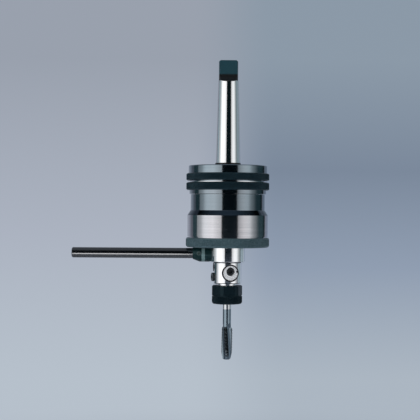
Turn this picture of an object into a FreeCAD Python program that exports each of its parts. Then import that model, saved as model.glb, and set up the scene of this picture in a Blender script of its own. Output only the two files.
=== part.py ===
import FreeCAD, Part
import math
import os

# Self-reversing tapping attachment. Millimetres. The origin is on the axis, at the gauge plane of the
# taper shank, and +Z points along the axis towards the tang. The stop arm points along -X.

# Taper shank: Morse taper 3
GAUGE_DIAMETER = 23.825
TAPER_RATE = 1 / 19.922
BIG_END_BELOW_GAUGE = 5.0
SHANK_LENGTH = 99.0
TANG_DIAMETER = 18.5
TANG_THICKNESS = 7.9
TANG_LENGTH = 20.0
TANG_FLAT_LENGTH = 14.0
TANG_CUTTER_RADIUS = 7.0
TANG_END_CHAMFER = 1.0

# Casing, from the collar of the shank down
COLLAR_DIAMETER = 24.6
COLLAR_HEIGHT = 2.6
KNURLED_RING_DIAMETER = 80.2
KNURLED_RING_WALL = 5.1
KNURLED_RING_EDGE = 0.5
TORQUE_RING_HEIGHT = 6.95
RING_GAP = 1.75
LOCK_RING_HEIGHT = 7.55
CAP_DIAMETER = KNURLED_RING_DIAMETER - 4.4
CAP_HEIGHT = 7.45
CAP_EDGE = 0.6
CAP_SPIGOT_DIAMETER = CAP_DIAMETER - 2.8
CAP_SPIGOT_HEIGHT = 2.0
LOCK_WASHER_DIAMETER = KNURLED_RING_DIAMETER - 5.0
LOCK_WASHER_THICKNESS = 0.6
NECK_DIAMETER = KNURLED_RING_DIAMETER - 6.2
NECK_HEIGHT = 3.65
WAIST_DIAMETER = 71.6
WAIST_HEIGHT = 15.65
CONE_HEIGHT = 4.8
BODY_DIAMETER = 77.8
BODY_HEIGHT = 21.4
BODY_WALL = 3.4
BODY_FOOT = 1.0
HOUSING_SPIGOT_LENGTH = 3.6
HOUSING_SPIGOT_ROOM = 0.4
BOTTOM_RING_DIAMETER = 80.5
BOTTOM_RING_HEIGHT = 9.3
BOTTOM_RING_EDGE = 1.4
BOTTOM_SPIGOT_LENGTH = 4.0
SLEEVE_DIAMETER = 34.1
SLEEVE_EDGE = 0.5
SLEEVE_LENGTH = 14.05
SLEEVE_BORE = 28.0
SLEEVE_FLANGE_DIAMETER = 42.0
SLEEVE_FLANGE_HEIGHT = 2.5

# Clutch inside the drum
DRUM_DIAMETER = KNURLED_RING_DIAMETER - 2 * KNURLED_RING_WALL
DRUM_BORE = DRUM_DIAMETER - 8.0
DRUM_FLOOR = 3.0
DISC_THICKNESS = 1.5
DISC_DIAMETER = DRUM_BORE - 6.0
DISC_BORE = 32.0
CLUTCH_FLANGE_DIAMETER = DISC_DIAMETER - 2.0
CLUTCH_FLANGE_THICKNESS = 2.8
PRESSURE_PLATE_THICKNESS = 2.15
SPRING_PLATE_THICKNESS = 2.0
PLATE_BORE = 30.0
DISC_SPRING_DIAMETER = DISC_DIAMETER
DISC_SPRING_BORE = 34.0
DISC_SPRING_THICKNESS = 0.9
PILOT_DIAMETER = 20.0
PILOT_BUSH_WALL = 2.5
CAP_SEAL_WIDTH = 2.6
CAP_SEAL_HEIGHT = 3.0
KEY_WIDTH = 6.0
KEY_DEPTH = 2.0
KEY_COUNT = 3
KEY_START_ANGLE = 30.0
WASHER_KEY_WIDTH = 4.0
WASHER_KEY_DEPTH = 1.5
WASHER_KEY_ROOT = 1.0
TORQUE_RING_FALL = 0.75

# Drive bell and main bearing
BELL_NECK_DIAMETER = 44.0
BELL_NECK_BORE = 32.0
BELL_DIAMETER = BODY_DIAMETER - 2 * BODY_WALL - 6.0
BELL_BORE = BELL_DIAMETER - 4.4
BELL_EDGE = 3.0
BELL_RIM_WALL = 4.0
BELL_SHOULDER_DROP = 0.8
BEARING_SPACER_DROP = 0.3
BELL_PLATE_TOP = 12.55
BELL_PLATE_THICKNESS = 3.0
BEARING_TOP = 2.05
BEARING_WIDTH = 9.0
BEARING_DIAMETER = 63.0
BEARING_LIP = 0.6
BALL_DIAMETER = 6.5
BALL_CIRCLE = 53.0
BALL_COUNT = 14
RACE_DEPTH = 1.5
CAGE_THICKNESS = 2.4
CAGE_HEIGHT = 7.6
SNAP_RING_THICKNESS = 1.4
SNAP_RING_DEPTH = 1.0
SNAP_RING_REACH = 3.0
SNAP_RING_OPENING = 8.0
DRUM_SCREW_CIRCLE = 38.0
DRUM_SCREW_DIAMETER = 4.0
DRUM_SCREW_HEAD = 7.4
DRUM_SCREW_LENGTH = 10.0
DRUM_SCREW_COUNT = 4

# Reversing gears: planets on pins between the toothed bell and the sun gear
RING_TEETH = 57
MODULE = (BELL_DIAMETER - 2 * BELL_RIM_WALL) / RING_TEETH
SUN_TEETH = 33
PLANET_TEETH = 12
PLANET_COUNT = 3
PRESSURE_ANGLE = math.radians(25)
ADDENDUM = 0.8 * MODULE
DEDENDUM = 1.0 * MODULE
RING_BLANK_TOOTH = 2.0 * MODULE
BACKLASH = 0.12
GEAR_WIDTH = 7.4
GEAR_TO_CARRIER = 0.4
CARRIER_THICKNESS = 3.0
PIN_DIAMETER = 5.0
PIN_END_LENGTH = 0.6
CLIP_DIAMETER = 8.4
CLIP_THICKNESS = 0.8
CLIP_GROOVE_DEPTH = 0.5
SUN_JOURNAL_DIAMETER = MODULE * SUN_TEETH - 6.0
SUN_BUSH_WALL = 2.0
SUN_BORE = 20.8
SUN_BOSS_HEIGHT = 0.9
CARRIER_SCREW_CIRCLE = BELL_DIAMETER - 10.0
CARRIER_SCREW_DIAMETER = 3.0
CARRIER_SCREW_HEAD = 5.4
CARRIER_SCREW_HEAD_HEIGHT = 1.4
CARRIER_SCREW_LENGTH = 8.0

# Dogs of the float drive
DOG_COUNT = 4
DOG_ANGLE = 41.0
DOG_ROOT = 0.5
DOG_HEIGHT = 2.8
FORWARD_DOG_INNER = 28.0
FORWARD_DOG_OUTER = 42.0
REVERSE_DOG_OUTER = MODULE * SUN_TEETH - 2 * DEDENDUM - 0.2
REVERSE_DOG_INNER = REVERSE_DOG_OUTER - 6.8
REVERSE_DOG_HEIGHT = 2.0
HUB_FLANGE_THICKNESS = 3.0
HUB_SEAT_DIAMETER = 16.0
FLOAT_TRAVEL = 4.2

# Return spring on the stub of the spindle
STUB_DIAMETER = 12.0
HUB_NUT_FLATS = 16.0
HUB_NUT_HEIGHT = 3.0
SPRING_MEAN_DIAMETER = 26.0
SPRING_WIRE = 1.4
SPRING_TURNS = 3.0
SPRING_LENGTH = 9.1
SPRING_SEAT_THICKNESS = 1.5
SPRING_WASHER_THICKNESS = 1.2
SPRING_NUT_FLATS = 18.0
SPRING_NUT_HEIGHT = 3.0

# Spindle and its nose
QUILL_DIAMETER = 24.0
UPPER_QUILL_DIAMETER = 20.0
NOSE_DIAMETER = 27.5
NOSE_LENGTH = 20.65
NOSE_EDGE = 0.8
NOSE_BELOW_SLEEVE = 0.3
NOSE_NECK_DIAMETER = 18.8
NOSE_NECK_LENGTH = 13.4
BUSH_LENGTH = 18.0
SEAL_HEIGHT = 2.6

# Jaws, their screws and bushings, turned about the axis from the front
JAW_TURN = 14.0
FRONT = -90 + JAW_TURN
BACK = FRONT + 180
JAW_WIDTH = 7.0
JAW_HEIGHT = 9.0
JAW_DEPTH = 3.5
JAW_GUIDE_RADIUS = 8.8
JAW_ROOM = 0.1
JAW_BELOW_NOSE_TOP = 8.8
JAW_SCREW_DIAMETER = 8.1
JAW_SCREW_LENGTH = 4.9
JAW_SCREW_SOCKET = 4.0
JAW_SCREW_SOCKET_DEPTH = 2.8
BUSHING_DIAMETER = 13.8
BUSHING_FACE_RADIUS = 12.9
BUSHING_BELOW_JAW = 1.45
BUSHING_NOTCH_WIDTH = 2.0
BUSHING_NOTCH_DEPTH = 1.6
BUSHING_SNAP_RING_SINK = 0.7
POCKET_DIAMETER = 16.6
POCKET_FLOOR_RADIUS = 10.9
SIDE_SCREW_DIAMETER = 8.2
SIDE_SCREW_SPACING = 9.7
SIDE_SCREW_TOP_DROP = 4.6
SIDE_SCREW_PROUD = 1.5
SIDE_SCREW_SUNK = 0.5
SIDE_SCREW_POINT_RADIUS = 5.2
SIDE_SCREW_SOCKET = 4.0
SIDE_SCREW_SOCKET_DEPTH = 3.0

# Collet, nut and tap
NUT_DIAMETER = 29.3
NUT_LENGTH = 17.85
NUT_BELOW_NOSE = 1.75
NUT_FLATS = 27.0
NUT_FLATS_LENGTH = 9.5
NUT_FLATS_TURN = 10.0
NUT_MOUTH = 13.4
NUT_CHAMFER = 1.2
COLLET_CONE_MOUTH = 15.6
COLLET_CONE_TOP = 11.6
COLLET_CONE_LENGTH = 11.5
COLLET_HEAD_LENGTH = 4.6
COLLET_BLADES = 6
BLADE_THICKNESS = 1.4
BLADE_COVER = 0.6
BLADE_END_COVER = 1.0
TAP_SHANK_DIAMETER = 8.0
TAP_SQUARE = 6.2
TAP_SQUARE_LENGTH = 11.0
TAP_LENGTH = 90.0
TAP_THREAD_DIAMETER = 11.1
TAP_THREAD_LENGTH = 31.75
TAP_SHANK_SHOWN = 22.05
TAP_LEAD_LENGTH = 7.0
TAP_POINT_DIAMETER = 8.6
TAP_POINT_CHAMFER = 1.0
TAP_FLUTES = 4
FLUTE_RADIUS = 2.9
FLUTE_CENTRE_RADIUS = 5.75
FLUTE_TWIST = 36.0
FLUTE_STATIONS = 7

# Stop arm
ROD_DIAMETER = 10.0
ROD_AXIS_BELOW_RING = 6.0
ROD_END_RADIUS = 150.0
ROD_START_RADIUS = 20.0
ROD_CHAMFER = 0.8
ROD_SEAT_DIAMETER = 8.0
BOSS_DIAMETER = 16.4
BOSS_END_RADIUS = 33.3
BOSS_CONE_LENGTH = 6.6
BOSS_TIP_DIAMETER = 11.4
BOSS_SPIGOT_DIAMETER = 11.0
ARM_SCREW_DIAMETER = 4.2
ARM_SCREW_RADIUS = 27.4
ARM_SCREW_SOCKET = 2.0
ARM_SCREW_SINK = 0.4

# Clearances
RUNNING = 0.05
FACE_RUNNING = 0.05
LOOSE = 0.3
HOUSING_GAP = 0.35
DOG_GAP = 0.3
OVERRUN = 1.0

# Stations along the axis
Z_BIG_END = -BIG_END_BELOW_GAUGE
Z_TANG_END = Z_BIG_END + SHANK_LENGTH
Z_CAP_TOP = Z_BIG_END - COLLAR_HEIGHT
Z_CAP_BOTTOM = Z_CAP_TOP - CAP_HEIGHT
Z_SPIGOT_BOTTOM = Z_CAP_BOTTOM - CAP_SPIGOT_HEIGHT
Z_TORQUE_RING_BOTTOM = Z_CAP_BOTTOM - TORQUE_RING_HEIGHT
Z_LOCK_RING_TOP = Z_TORQUE_RING_BOTTOM - RING_GAP
Z_NECK_TOP = Z_LOCK_RING_TOP - LOCK_RING_HEIGHT
Z_NECK_BOTTOM = Z_NECK_TOP - NECK_HEIGHT
Z_WAIST_TOP = Z_NECK_BOTTOM - HOUSING_GAP
Z_WAIST_BOTTOM = Z_NECK_BOTTOM - WAIST_HEIGHT
Z_CONE_BOTTOM = Z_WAIST_BOTTOM - CONE_HEIGHT
Z_BODY_BOTTOM = Z_CONE_BOTTOM - BODY_HEIGHT
Z_RING_BOTTOM = Z_BODY_BOTTOM - BOTTOM_RING_HEIGHT
Z_SLEEVE_BOTTOM = Z_RING_BOTTOM - SLEEVE_LENGTH
Z_NOSE_TOP = Z_SLEEVE_BOTTOM - NOSE_BELOW_SLEEVE
Z_NOSE_BOTTOM = Z_NOSE_TOP - NOSE_LENGTH
Z_NECK_END = Z_NOSE_BOTTOM - NOSE_NECK_LENGTH
Z_NUT_TOP = Z_NOSE_BOTTOM - NUT_BELOW_NOSE
Z_NUT_BOTTOM = Z_NUT_TOP - NUT_LENGTH
Z_THREAD_TOP = Z_NUT_BOTTOM - TAP_SHANK_SHOWN
Z_TAP_POINT = Z_THREAD_TOP - TAP_THREAD_LENGTH
Z_TAP_TOP = Z_TAP_POINT + TAP_LENGTH

# Clutch stack, from the floor of the drum up
Z_FLOOR = Z_NECK_BOTTOM + DRUM_FLOOR
Z_LOWER_DISC_TOP = Z_FLOOR + DISC_THICKNESS
Z_FLANGE_BOTTOM = Z_LOWER_DISC_TOP + FACE_RUNNING
Z_FLANGE_TOP = Z_FLANGE_BOTTOM + CLUTCH_FLANGE_THICKNESS
Z_UPPER_DISC_BOTTOM = Z_FLANGE_TOP + FACE_RUNNING
Z_PRESSURE_BOTTOM = Z_UPPER_DISC_BOTTOM + DISC_THICKNESS
Z_PRESSURE_TOP = Z_PRESSURE_BOTTOM + PRESSURE_PLATE_THICKNESS
Z_DRUM_TOP = Z_SPIGOT_BOTTOM - TORQUE_RING_FALL - LOOSE
Z_SPRING_PLATE_TOP = Z_DRUM_TOP - LOOSE
Z_SPRING_PLATE_BOTTOM = Z_SPRING_PLATE_TOP - SPRING_PLATE_THICKNESS

# Bearing, bell and gears, from the foot of the drum down
Z_BEARING_TOP = Z_NECK_BOTTOM - BEARING_TOP
Z_BEARING_BOTTOM = Z_BEARING_TOP - BEARING_WIDTH
Z_PLATE_TOP = Z_NECK_BOTTOM - BELL_PLATE_TOP
Z_PLATE_BOTTOM = Z_PLATE_TOP - BELL_PLATE_THICKNESS
Z_CARRIER_TOP = Z_BODY_BOTTOM + CARRIER_THICKNESS
Z_GEAR_BOTTOM = Z_CARRIER_TOP + GEAR_TO_CARRIER
Z_GEAR_TOP = Z_GEAR_BOTTOM + GEAR_WIDTH
Z_SUN_TOP = Z_GEAR_TOP + SUN_BOSS_HEIGHT
Z_SUN_DOG_TOP = Z_SUN_TOP + REVERSE_DOG_HEIGHT
Z_HUB_BOTTOM = Z_SUN_DOG_TOP + DOG_GAP + FLOAT_TRAVEL
Z_HUB_FLANGE_BOTTOM = Z_HUB_BOTTOM + REVERSE_DOG_HEIGHT
Z_HUB_FLANGE_TOP = Z_HUB_FLANGE_BOTTOM + HUB_FLANGE_THICKNESS
Z_HUB_DOG_TOP = Z_HUB_FLANGE_TOP + DOG_HEIGHT
Z_BELL_DOG_BOTTOM = Z_HUB_FLANGE_TOP + DOG_GAP
Z_SPRING_SEAT = Z_PLATE_BOTTOM + SPRING_SEAT_THICKNESS
Z_SPRING_TOP = Z_SPRING_SEAT + SPRING_LENGTH
Z_SPRING_WASHER_TOP = Z_SPRING_TOP + SPRING_WASHER_THICKNESS
Z_STUB_TOP = Z_SPRING_WASHER_TOP + SPRING_NUT_HEIGHT + LOOSE
Z_JAWS = Z_NOSE_TOP - JAW_BELOW_NOSE_TOP
Z_BUSHINGS = Z_JAWS - BUSHING_BELOW_JAW
Z_UPPER_SIDE_SCREW = Z_NOSE_TOP - SIDE_SCREW_TOP_DROP
Z_LOWER_SIDE_SCREW = Z_UPPER_SIDE_SCREW - SIDE_SCREW_SPACING
Z_ROD = Z_RING_BOTTOM - ROD_AXIS_BELOW_RING

# Radii that several pieces share
JOURNAL_RADIUS = COLLAR_DIAMETER / 2
RING_BORE_RADIUS = DRUM_DIAMETER / 2 + RUNNING
BODY_BORE_RADIUS = BODY_DIAMETER / 2 - BODY_WALL
BELL_RADIUS = BELL_DIAMETER / 2
PLANET_CIRCLE_RADIUS = MODULE * (RING_TEETH - PLANET_TEETH) / 2
BALL_RADIUS = BALL_DIAMETER / 2
BALL_CIRCLE_RADIUS = BALL_CIRCLE / 2
INNER_RACE_RADIUS = BALL_CIRCLE_RADIUS - BALL_RADIUS + RACE_DEPTH
OUTER_RACE_RADIUS = BALL_CIRCLE_RADIUS + BALL_RADIUS - RACE_DEPTH
SPIGOT_RADIUS = BODY_BORE_RADIUS - RUNNING
SPIGOT_INNER_RADIUS = BELL_RADIUS + 2 * LOOSE - RUNNING
STUB_HOLE_RADIUS = HUB_NUT_FLATS / math.sqrt(3) + LOOSE

AXIS = FreeCAD.Vector(0, 0, 1)
ORIGIN = FreeCAD.Vector(0, 0, 0)


def turned(points):
    """Solid of revolution from the (radius, height) corners of its half section."""
    corners = [FreeCAD.Vector(radius, 0, height) for radius, height in points]
    wire = Part.makePolygon(corners + corners[:1])
    return Part.Face(wire).revolve(ORIGIN, AXIS, 360)


def ring(inner, outer, bottom, top):
    """Plain ring between two radii and two heights."""
    return turned([(inner, bottom), (outer, bottom), (outer, top), (inner, top)])


def rod(radius, bottom, top, x=0.0, y=0.0):
    """Upright cylinder."""
    return Part.makeCylinder(radius, top - bottom, FreeCAD.Vector(x, y, bottom))


def block(width, depth, height, x, y, z):
    """Box centred at x, y that stands on z."""
    return Part.makeBox(width, depth, height, FreeCAD.Vector(x - width / 2, y - depth / 2, z))


def turn(shape, degrees):
    """Copy of a shape turned about the main axis."""
    copy = shape.copy()
    copy.rotate(ORIGIN, AXIS, degrees)
    return copy


def around(shape, count, start=0.0):
    """List of copies spaced evenly about the main axis."""
    return [turn(shape, start + 360 * index / count) for index in range(count)]


def prism(flats, height, sides=6):
    """Regular prism on the XY plane, measured across its flats."""
    corner = flats / 2 / math.cos(math.pi / sides)
    angles = [2 * math.pi * (index + 0.5) / sides for index in range(sides)]
    points = [FreeCAD.Vector(corner * math.cos(a), corner * math.sin(a), 0) for a in angles]
    return Part.Face(Part.makePolygon(points + points[:1])).extrude(FreeCAD.Vector(0, 0, height))


def radial(shape, distance, height, degrees):
    """Stand a shape that was made along +Z so that it points out from the axis at an angle."""
    copy = shape.copy()
    copy.rotate(ORIGIN, FreeCAD.Vector(0, 1, 0), 90)
    copy.translate(FreeCAD.Vector(distance, 0, height))
    return turn(copy, degrees)


def save(name, *solids):
    """Write one piece, or one group of equal pieces, to its own file."""
    clean = [solid.removeSplitter() for solid in solids]
    shape = clean[0] if len(clean) == 1 else Part.makeCompound(clean)
    shape.exportStep(f"parts/{name}.step")


def sector(inner, outer, bottom, height, degrees, middle):
    """Part of a ring that spans an angle about a middle direction."""
    corners = [FreeCAD.Vector(inner, 0, bottom), FreeCAD.Vector(outer, 0, bottom),
               FreeCAD.Vector(outer, 0, bottom + height), FreeCAD.Vector(inner, 0, bottom + height)]
    face = Part.Face(Part.makePolygon(corners + corners[:1]))
    return turn(face.revolve(ORIGIN, AXIS, degrees), middle - degrees / 2)


def involute(angle):
    """Involute function of an angle in radians."""
    return math.tan(angle) - angle


def gear_outline(teeth, root_radius, tip_radius, thickness):
    """Closed outline of a gear whose first tooth points along +X."""
    pitch_radius = MODULE * teeth / 2
    base_radius = pitch_radius * math.cos(PRESSURE_ANGLE)
    steps = 5
    flank = []
    for step in range(steps):
        radius = max(root_radius, base_radius)
        radius += (tip_radius - radius) * step / (steps - 1)
        lean = involute(PRESSURE_ANGLE) - involute(math.acos(base_radius / radius))
        flank.append((radius, thickness / 2 / pitch_radius + lean))
    if root_radius < base_radius:
        flank.insert(0, (root_radius, flank[0][1]))
    points = []
    for tooth in range(teeth):
        middle = 2 * math.pi * tooth / teeth
        for radius, half in flank:
            points.append((radius, middle - half))
        for radius, half in reversed(flank):
            points.append((radius, middle + half))
    corners = [FreeCAD.Vector(r * math.cos(a), r * math.sin(a), 0) for r, a in points]
    return Part.Face(Part.makePolygon(corners + corners[:1]))


def gear_block(teeth, below, above, thickness, bottom, top):
    """Toothed block: root and tip lie below and above the pitch circle."""
    pitch_radius = MODULE * teeth / 2
    outline = gear_outline(teeth, pitch_radius - below, pitch_radius + above, thickness)
    outline.translate(FreeCAD.Vector(0, 0, bottom))
    return outline.extrude(FreeCAD.Vector(0, 0, top - bottom))


def make_arbor():
    """Taper shank with its tang, the collar, the clutch flange and the pilot, turned from one bar."""
    z_tang = Z_TANG_END - TANG_LENGTH
    big = GAUGE_DIAMETER / 2 + BIG_END_BELOW_GAUGE * TAPER_RATE / 2
    small = GAUGE_DIAMETER / 2 - z_tang * TAPER_RATE / 2
    tang = TANG_DIAMETER / 2
    flange = CLUTCH_FLANGE_DIAMETER / 2
    pilot = PILOT_DIAMETER / 2
    body = turned([
        (0, Z_NECK_BOTTOM + FACE_RUNNING), (pilot, Z_NECK_BOTTOM + FACE_RUNNING),
        (pilot, Z_FLANGE_BOTTOM), (flange, Z_FLANGE_BOTTOM), (flange, Z_FLANGE_TOP),
        (JOURNAL_RADIUS, Z_FLANGE_TOP), (JOURNAL_RADIUS, Z_BIG_END), (big, Z_BIG_END),
        (small, z_tang), (tang, z_tang + small - tang), (tang, Z_TANG_END - TANG_END_CHAMFER),
        (tang - TANG_END_CHAMFER, Z_TANG_END), (0, Z_TANG_END),
    ])
    reach = COLLAR_DIAMETER
    for side in (-1, 1):
        y = side * (TANG_THICKNESS / 2 + reach / 2)
        body = body.cut(block(reach * 2, reach, TANG_FLAT_LENGTH, 0, y, Z_TANG_END - TANG_FLAT_LENGTH))
        centre = FreeCAD.Vector(-reach, side * (TANG_THICKNESS / 2 + TANG_CUTTER_RADIUS),
                                Z_TANG_END - TANG_FLAT_LENGTH)
        cutter = Part.makeCylinder(TANG_CUTTER_RADIUS, reach * 2, centre, FreeCAD.Vector(1, 0, 0))
        body = body.cut(cutter)
    save("arbor", body)


def make_cap():
    """Top cap with its seal, and the knurled torque ring that is shrunk on its spigot."""
    bore = JOURNAL_RADIUS + LOOSE
    seal = bore + CAP_SEAL_WIDTH
    outer = CAP_DIAMETER / 2
    spigot = CAP_SPIGOT_DIAMETER / 2
    presser = DRUM_BORE / 2 - LOOSE
    z_seal = Z_CAP_TOP - CAP_SEAL_HEIGHT
    z_presser = Z_SPRING_PLATE_TOP + FACE_RUNNING
    cap = turned([
        (bore, z_presser), (presser, z_presser), (presser, Z_SPIGOT_BOTTOM), (spigot, Z_SPIGOT_BOTTOM),
        (spigot, Z_CAP_BOTTOM), (outer, Z_CAP_BOTTOM), (outer, Z_CAP_TOP - CAP_EDGE),
        (outer - CAP_EDGE, Z_CAP_TOP), (seal, Z_CAP_TOP), (seal, z_seal), (bore, z_seal),
    ])
    save("top_cap", cap)
    save("cap_seal", ring(JOURNAL_RADIUS + RUNNING, seal, z_seal, Z_CAP_TOP - CAP_EDGE))
    rim = KNURLED_RING_DIAMETER / 2
    edge = KNURLED_RING_EDGE
    torque_ring = turned([
        (RING_BORE_RADIUS, Z_TORQUE_RING_BOTTOM), (rim - edge, Z_TORQUE_RING_BOTTOM),
        (rim, Z_TORQUE_RING_BOTTOM + edge), (rim, Z_CAP_BOTTOM - edge),
        (rim - edge, Z_CAP_BOTTOM), (spigot, Z_CAP_BOTTOM), (spigot, Z_SPIGOT_BOTTOM),
        (RING_BORE_RADIUS, Z_SPIGOT_BOTTOM),
    ])
    save("torque_ring", torque_ring)


def make_lock_ring():
    """Lower knurled ring and the bright keyed washer that lies on it."""
    rim = KNURLED_RING_DIAMETER / 2
    edge = KNURLED_RING_EDGE
    lock_ring = turned([
        (RING_BORE_RADIUS, Z_NECK_TOP + FACE_RUNNING), (rim - edge, Z_NECK_TOP + FACE_RUNNING),
        (rim, Z_NECK_TOP + edge), (rim, Z_LOCK_RING_TOP - edge), (rim - edge, Z_LOCK_RING_TOP),
        (RING_BORE_RADIUS, Z_LOCK_RING_TOP),
    ])
    save("lock_ring", lock_ring)
    bottom = Z_LOCK_RING_TOP + FACE_RUNNING
    top = bottom + LOCK_WASHER_THICKNESS
    washer = ring(RING_BORE_RADIUS, LOCK_WASHER_DIAMETER / 2, bottom, top)
    inner = DRUM_DIAMETER / 2 - WASHER_KEY_DEPTH + LOOSE
    outer = RING_BORE_RADIUS + WASHER_KEY_ROOT
    tab = block(WASHER_KEY_WIDTH - LOOSE, outer - inner, top - bottom, 0, (outer + inner) / 2, bottom)
    save("lock_washer", washer.fuse(tab))


def make_drum():
    """Clutch drum: threaded sleeve, key grooves inside, keyway outside, foot that shows as the neck."""
    bore = DRUM_BORE / 2
    bush = PILOT_DIAMETER / 2 + RUNNING + PILOT_BUSH_WALL
    drum = turned([
        (bush, Z_NECK_BOTTOM), (NECK_DIAMETER / 2, Z_NECK_BOTTOM), (NECK_DIAMETER / 2, Z_NECK_TOP),
        (DRUM_DIAMETER / 2, Z_NECK_TOP), (DRUM_DIAMETER / 2, Z_DRUM_TOP), (bore, Z_DRUM_TOP),
        (bore, Z_FLOOR), (bush, Z_FLOOR),
    ])
    groove_bottom = Z_PRESSURE_BOTTOM - LOOSE
    depth = KEY_DEPTH + LOOSE
    groove_height = Z_DRUM_TOP + OVERRUN - groove_bottom
    groove = block(2 * depth, KEY_WIDTH + LOOSE, groove_height, bore, 0, groove_bottom)
    for cutter in around(groove, KEY_COUNT, KEY_START_ANGLE):
        drum = drum.cut(cutter)
    keyway_height = Z_DRUM_TOP - Z_NECK_TOP + OVERRUN
    keyway = block(WASHER_KEY_WIDTH, 2 * WASHER_KEY_DEPTH, keyway_height, 0, DRUM_DIAMETER / 2, Z_NECK_TOP)
    drum = drum.cut(keyway)
    for screw in drum_screws():
        drum = drum.cut(screw)
    save("clutch_drum", drum)
    save("pilot_bush", ring(PILOT_DIAMETER / 2 + RUNNING, bush, Z_NECK_BOTTOM, Z_FLOOR))


def drum_screws():
    """Countersunk screws that hold the drum on the neck of the bell."""
    head = DRUM_SCREW_HEAD / 2
    shank = DRUM_SCREW_DIAMETER / 2
    screw = turned([
        (0, Z_FLOOR - DRUM_SCREW_LENGTH), (shank, Z_FLOOR - DRUM_SCREW_LENGTH),
        (shank, Z_FLOOR - (head - shank)), (head, Z_FLOOR), (0, Z_FLOOR),
    ])
    screw.translate(FreeCAD.Vector(DRUM_SCREW_CIRCLE / 2, 0, 0))
    return around(screw, DRUM_SCREW_COUNT)


def keyed_plate(bottom, top):
    """Plate with ears that slide in the key grooves of the drum."""
    outer = DRUM_BORE / 2 - LOOSE
    plate = ring(PLATE_BORE / 2, outer, bottom, top)
    reach = KEY_DEPTH + LOOSE
    ear = block(2 * reach, KEY_WIDTH - LOOSE, top - bottom, outer, 0, bottom)
    ear = ear.common(ring(PLATE_BORE / 2, DRUM_BORE / 2 + KEY_DEPTH - LOOSE, bottom, top))
    for piece in around(ear, KEY_COUNT, KEY_START_ANGLE):
        plate = plate.fuse(piece)
    return plate


def make_clutch():
    """Friction discs, pressure plate, disc springs and the plate that loads them."""
    inner = DISC_BORE / 2
    outer = DISC_DIAMETER / 2
    save("lower_friction_disc", ring(inner, outer, Z_FLOOR, Z_LOWER_DISC_TOP))
    save("upper_friction_disc", ring(inner, outer, Z_UPPER_DISC_BOTTOM, Z_PRESSURE_BOTTOM))
    save("pressure_plate", keyed_plate(Z_PRESSURE_BOTTOM, Z_PRESSURE_TOP))
    save("spring_plate", keyed_plate(Z_SPRING_PLATE_BOTTOM, Z_SPRING_PLATE_TOP))
    small = DISC_SPRING_BORE / 2
    large = DISC_SPRING_DIAMETER / 2
    middle = (Z_PRESSURE_TOP + Z_SPRING_PLATE_BOTTOM) / 2
    thick = DISC_SPRING_THICKNESS
    lower = turned([(small, middle - thick), (large, Z_PRESSURE_TOP), (large, Z_PRESSURE_TOP + thick),
                    (small, middle)])
    upper = turned([(small, middle), (large, Z_SPRING_PLATE_BOTTOM - thick), (large, Z_SPRING_PLATE_BOTTOM),
                    (small, middle + thick)])
    save("disc_springs", lower, upper)


def dogs(inner, outer, bottom, height, start):
    """Driving dogs spaced about the axis."""
    dog = sector(inner / 2, outer / 2, bottom, height, DOG_ANGLE, 0)
    return around(dog, DOG_COUNT, start)


def make_bell():
    """Drive bell: neck that carries the drum and the bearing, forward dogs, internal teeth at the rim."""
    pitch_radius = MODULE * RING_TEETH / 2
    neck = BELL_NECK_DIAMETER / 2
    shoulder = INNER_RACE_RADIUS - BELL_SHOULDER_DROP
    bore = BELL_BORE / 2
    inner_tooth = pitch_radius - RING_BLANK_TOOTH
    bell = turned([
        (STUB_HOLE_RADIUS, Z_PLATE_BOTTOM), (STUB_HOLE_RADIUS, Z_SPRING_SEAT),
        (BELL_NECK_BORE / 2, Z_SPRING_SEAT), (BELL_NECK_BORE / 2, Z_NECK_BOTTOM), (neck, Z_NECK_BOTTOM),
        (neck, Z_BEARING_BOTTOM), (shoulder, Z_BEARING_BOTTOM), (shoulder, Z_PLATE_TOP),
        (BELL_RADIUS - BELL_EDGE, Z_PLATE_TOP), (BELL_RADIUS, Z_PLATE_TOP - BELL_EDGE),
        (BELL_RADIUS, Z_GEAR_BOTTOM),
        (inner_tooth, Z_GEAR_BOTTOM), (inner_tooth, Z_GEAR_TOP), (bore, Z_GEAR_TOP), (bore, Z_PLATE_BOTTOM),
    ])
    space = math.pi * MODULE / 2 + BACKLASH / 2
    bottom = Z_GEAR_BOTTOM - OVERRUN
    bell = bell.cut(gear_block(RING_TEETH, ADDENDUM, DEDENDUM, space, bottom, Z_GEAR_TOP + OVERRUN))
    height = Z_PLATE_BOTTOM - Z_BELL_DOG_BOTTOM + DOG_ROOT
    for dog in dogs(FORWARD_DOG_INNER, FORWARD_DOG_OUTER, Z_BELL_DOG_BOTTOM, height, 0):
        bell = bell.fuse(dog)
    for screw in drum_screws():
        bell = bell.cut(screw)
    save("drive_bell", bell)
    save("drum_screws", *drum_screws())
    spacer = ring(neck + RUNNING, INNER_RACE_RADIUS - BEARING_SPACER_DROP, Z_BEARING_TOP, Z_NECK_BOTTOM)
    save("bearing_spacer", spacer)


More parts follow.
